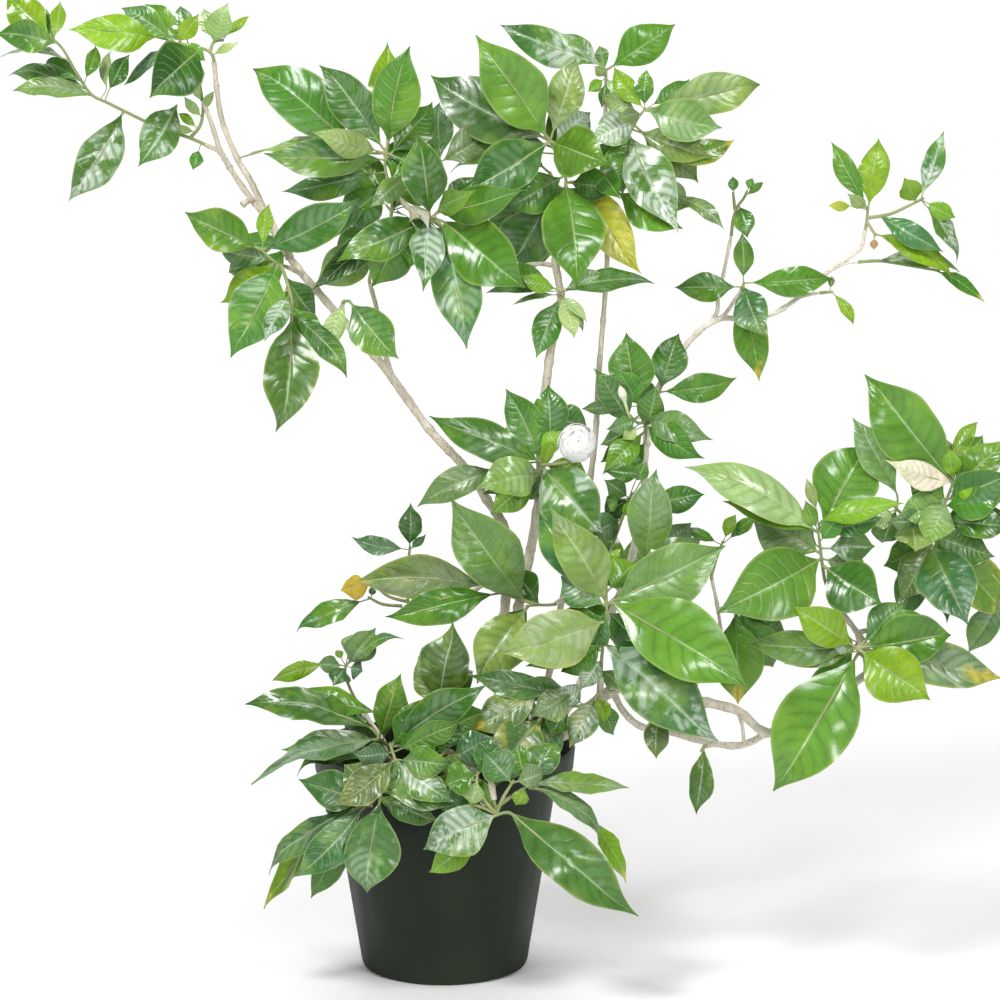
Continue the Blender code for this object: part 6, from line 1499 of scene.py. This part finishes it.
pot = dict(
    sides=96, height=0.200, neck=0.1020, base=0.0750, lipDepth=0.0250, wall=0.0026,
    drains=4, drainRadius=0.0065, drainPlace=0.052, drainSides=24, drillLength=0.012, drillHeight=0.001,
    floorRing=0.02, footRim=0.002, footHollow=0.0009, footInset=0.040, hair=0.0001,
    # (radius, height), from under the foot, up the outside, over the lip and down the inside
    outline=(
        (0.0620, 0.0000), (0.0712, 0.0000), (0.0738, 0.0012), (0.0752, 0.0045), (0.0890, 0.0900),
        (0.1005, 0.1660), (0.1016, 0.1705), (0.1030, 0.1737), (0.1062, 0.1752), (0.1130, 0.1762),
        (0.1150, 0.1778), (0.1158, 0.1805), (0.1172, 0.1955), (0.1175, 0.1975), (0.1172, 0.1991),
        (0.1160, 0.2000), (0.1149, 0.1997), (0.1142, 0.1980), (0.1126, 0.1830), (0.1112, 0.1792),
        (0.1060, 0.1778), (0.1010, 0.1760), (0.0990, 0.1700), (0.0864, 0.0900), (0.0726, 0.0060),
        (0.0712, 0.0034), (0.0690, 0.0026)),
)
soil = dict(
    sides=72, top=wood["soilTop"], mound=0.005, floor=0.0031, floorInset=0.0075, turnUp=0.008, gap=0.0006,
    lump=0.0016, lumpScale=90, lumpSink=0.0006, ringShares=(0.86, 0.72, 0.58, 0.44, 0.30, 0.16, 0.06),
    chips=190, chipSize=(0.0040, 0.0095), chipForm=(1.0, 0.55, 0.22), chipTilt=0.5, chipSpread=(0.75, 1.15),
    chipBevel=0.16, chipMargin=0.006, chipSink=0.0006,
)


# draws the picked ring of edges on to the next radius and height
def drawRing(radius, height, nextRadius, nextHeight):
    bpy.ops.mesh.extrude_region_move(
        TRANSFORM_OT_translate={"value": (0.0, 0.0, nextHeight - height)})
    share = nextRadius / radius
    bpy.ops.transform.resize(value=(share, share, 1.0), center_override=(0.0, 0.0, nextHeight))


def makePot():
    outline = pot["outline"]
    radius, height = outline[0]
    bpy.ops.mesh.primitive_circle_add(vertices=pot["sides"], radius=radius, location=(0, 0, height))
    shell = bpy.context.object
    shell.name = "nurseryPot"
    bpy.ops.object.mode_set(mode="EDIT")
    bpy.ops.mesh.select_mode(type="EDGE")
    bpy.ops.mesh.select_all(action="SELECT")
    for (radius, height), (nextRadius, nextHeight) in zip(outline, outline[1:]):
        drawRing(radius, height, nextRadius, nextHeight)
    radius, height = outline[-1]
    drawRing(radius, height, pot["floorRing"], height)
    bpy.ops.mesh.edge_face_add()
    bpy.ops.mesh.select_all(action="DESELECT")
    bpy.ops.object.mode_set(mode="OBJECT")
    for edge in shell.data.edges:  # the open ring under the foot
        ends = [shell.data.vertices[end].co for end in edge.vertices]
        edge.select = all(
            end.z < pot["hair"] and end.xy.length < outline[0][0] + pot["hair"] for end in ends)
    bpy.ops.object.mode_set(mode="EDIT")
    bpy.ops.mesh.edge_face_add()
    bpy.ops.mesh.inset(thickness=pot["footRim"])
    bpy.ops.transform.translate(value=(0.0, 0.0, pot["footHollow"]))
    bpy.ops.mesh.inset(thickness=pot["footInset"])
    bpy.ops.mesh.select_all(action="SELECT")
    bpy.ops.mesh.normals_make_consistent(inside=False)
    bpy.ops.object.mode_set(mode="OBJECT")
    for n in range(pot["drains"]):
        angle = pi / 4 + n * 2 * pi / pot["drains"]
        reach = pot["drainPlace"]
        bpy.ops.mesh.primitive_cylinder_add(
            vertices=pot["drainSides"], radius=pot["drainRadius"], depth=pot["drillLength"],
            location=(reach * cos(angle), reach * sin(angle), pot["drillHeight"]))
        drill = bpy.context.object
        pickUp(shell)
        hole = shell.modifiers.new("drain", "BOOLEAN")
        hole.operation = "DIFFERENCE"
        hole.object = drill
        bpy.ops.object.modifier_apply(modifier="drain")
        bpy.data.objects.remove(drill, do_unlink=True)
    shell.data.materials.clear()
    shell.data.materials.append(finishes["darkPotPlastic"])
    finishPiece(shell, ["pot"], angle=40)


def makeChip(master, draw, place, tone):
    chip = bpy.data.objects.new("chipCopy", master.data.copy())
    bpy.context.scene.collection.objects.link(chip)
    size = draw.uniform(*soil["chipSize"])
    turn = Quaternion((0, 0, 1), draw.uniform(0, 2 * pi))
    turn = turn @ Quaternion((1, 0, 0), draw.uniform(-soil["chipTilt"], soil["chipTilt"]))
    for vert in chip.data.vertices:
        local = Vector([side * size * share for side, share in zip(vert.co, soil["chipForm"])])
        local *= draw.uniform(*soil["chipSpread"])
        vert.co = place + turn @ local
    paintPoints(chip, "woodTone", [tone] * len(chip.data.vertices))
    return chip


def makeSoil():
    draw = random.Random("soil")
    lean = (pot["neck"] - pot["base"]) / (pot["height"] - pot["lipDepth"])
    inset = pot["wall"] * (1 + lean ** 2) ** 0.5 + soil["gap"]
    under = pot["base"] - soil["floorInset"]
    low = pot["base"] + lean * soil["turnUp"] - inset
    rim = pot["base"] + lean * soil["top"] - inset
    bpy.ops.mesh.primitive_circle_add(
        vertices=soil["sides"], radius=under, location=(0, 0, soil["floor"]), fill_type="NGON")
    mix = bpy.context.object
    mix.name = "pottingMix"
    bpy.ops.object.mode_set(mode="EDIT")
    bpy.ops.mesh.select_mode(type="EDGE")
    bpy.ops.mesh.select_all(action="SELECT")
    bpy.ops.mesh.region_to_loop()
    drawRing(under, soil["floor"], low, soil["turnUp"])
    drawRing(low, soil["turnUp"], rim, soil["top"])
    radius, height = rim, soil["top"]
    for share in soil["ringShares"]:
        nextHeight = soil["top"] + soil["mound"] * (1 - share ** 2)
        drawRing(radius, height, rim * share, nextHeight)
        radius, height = rim * share, nextHeight
    bpy.ops.mesh.edge_face_add()
    bpy.ops.mesh.select_all(action="SELECT")
    bpy.ops.mesh.normals_make_consistent(inside=False)
    bpy.ops.object.mode_set(mode="OBJECT")
    for vert in mix.data.vertices:
        if vert.co.z > soil["top"] - 0.001:
            lump = noise.fractal(vert.co * soil["lumpScale"], 0.9, 2.0, 4)
            vert.co.z += soil["lump"] * lump - soil["lumpSink"]
    paintPoints(mix, "woodTone", [0.0] * len(mix.data.vertices))
    mix.data.materials.clear()
    mix.data.materials.append(finishes["pottingMix"])
    bpy.ops.mesh.primitive_cube_add(size=1.0, location=(0, 0, 0))
    master = bpy.context.object
    bpy.ops.object.mode_set(mode="EDIT")
    bpy.ops.mesh.select_all(action="SELECT")
    bpy.ops.mesh.bevel(offset=soil["chipBevel"], segments=1)
    bpy.ops.object.mode_set(mode="OBJECT")
    master.data.materials.append(finishes["pottingMix"])
    chips = []
    for n in range(soil["chips"]):
        angle = draw.uniform(0, 2 * pi)
        reach = (rim - soil["chipMargin"]) * draw.random() ** 0.5
        share = reach / rim
        height = soil["top"] + soil["mound"] * (1 - share ** 2)
        height += draw.uniform(-soil["chipSink"], soil["chipSink"])
        place = Vector((reach * cos(angle), reach * sin(angle), height))
        chips.append(makeChip(master, draw, place, draw.uniform(0.1, 0.9)))
    bpy.data.objects.remove(master, do_unlink=True)
    pickUp(mix, *chips)
    bpy.ops.object.join()
    finishPiece(mix, ["soil"], angle=40)


makePot()
makeSoil()
print("pot and soil made")
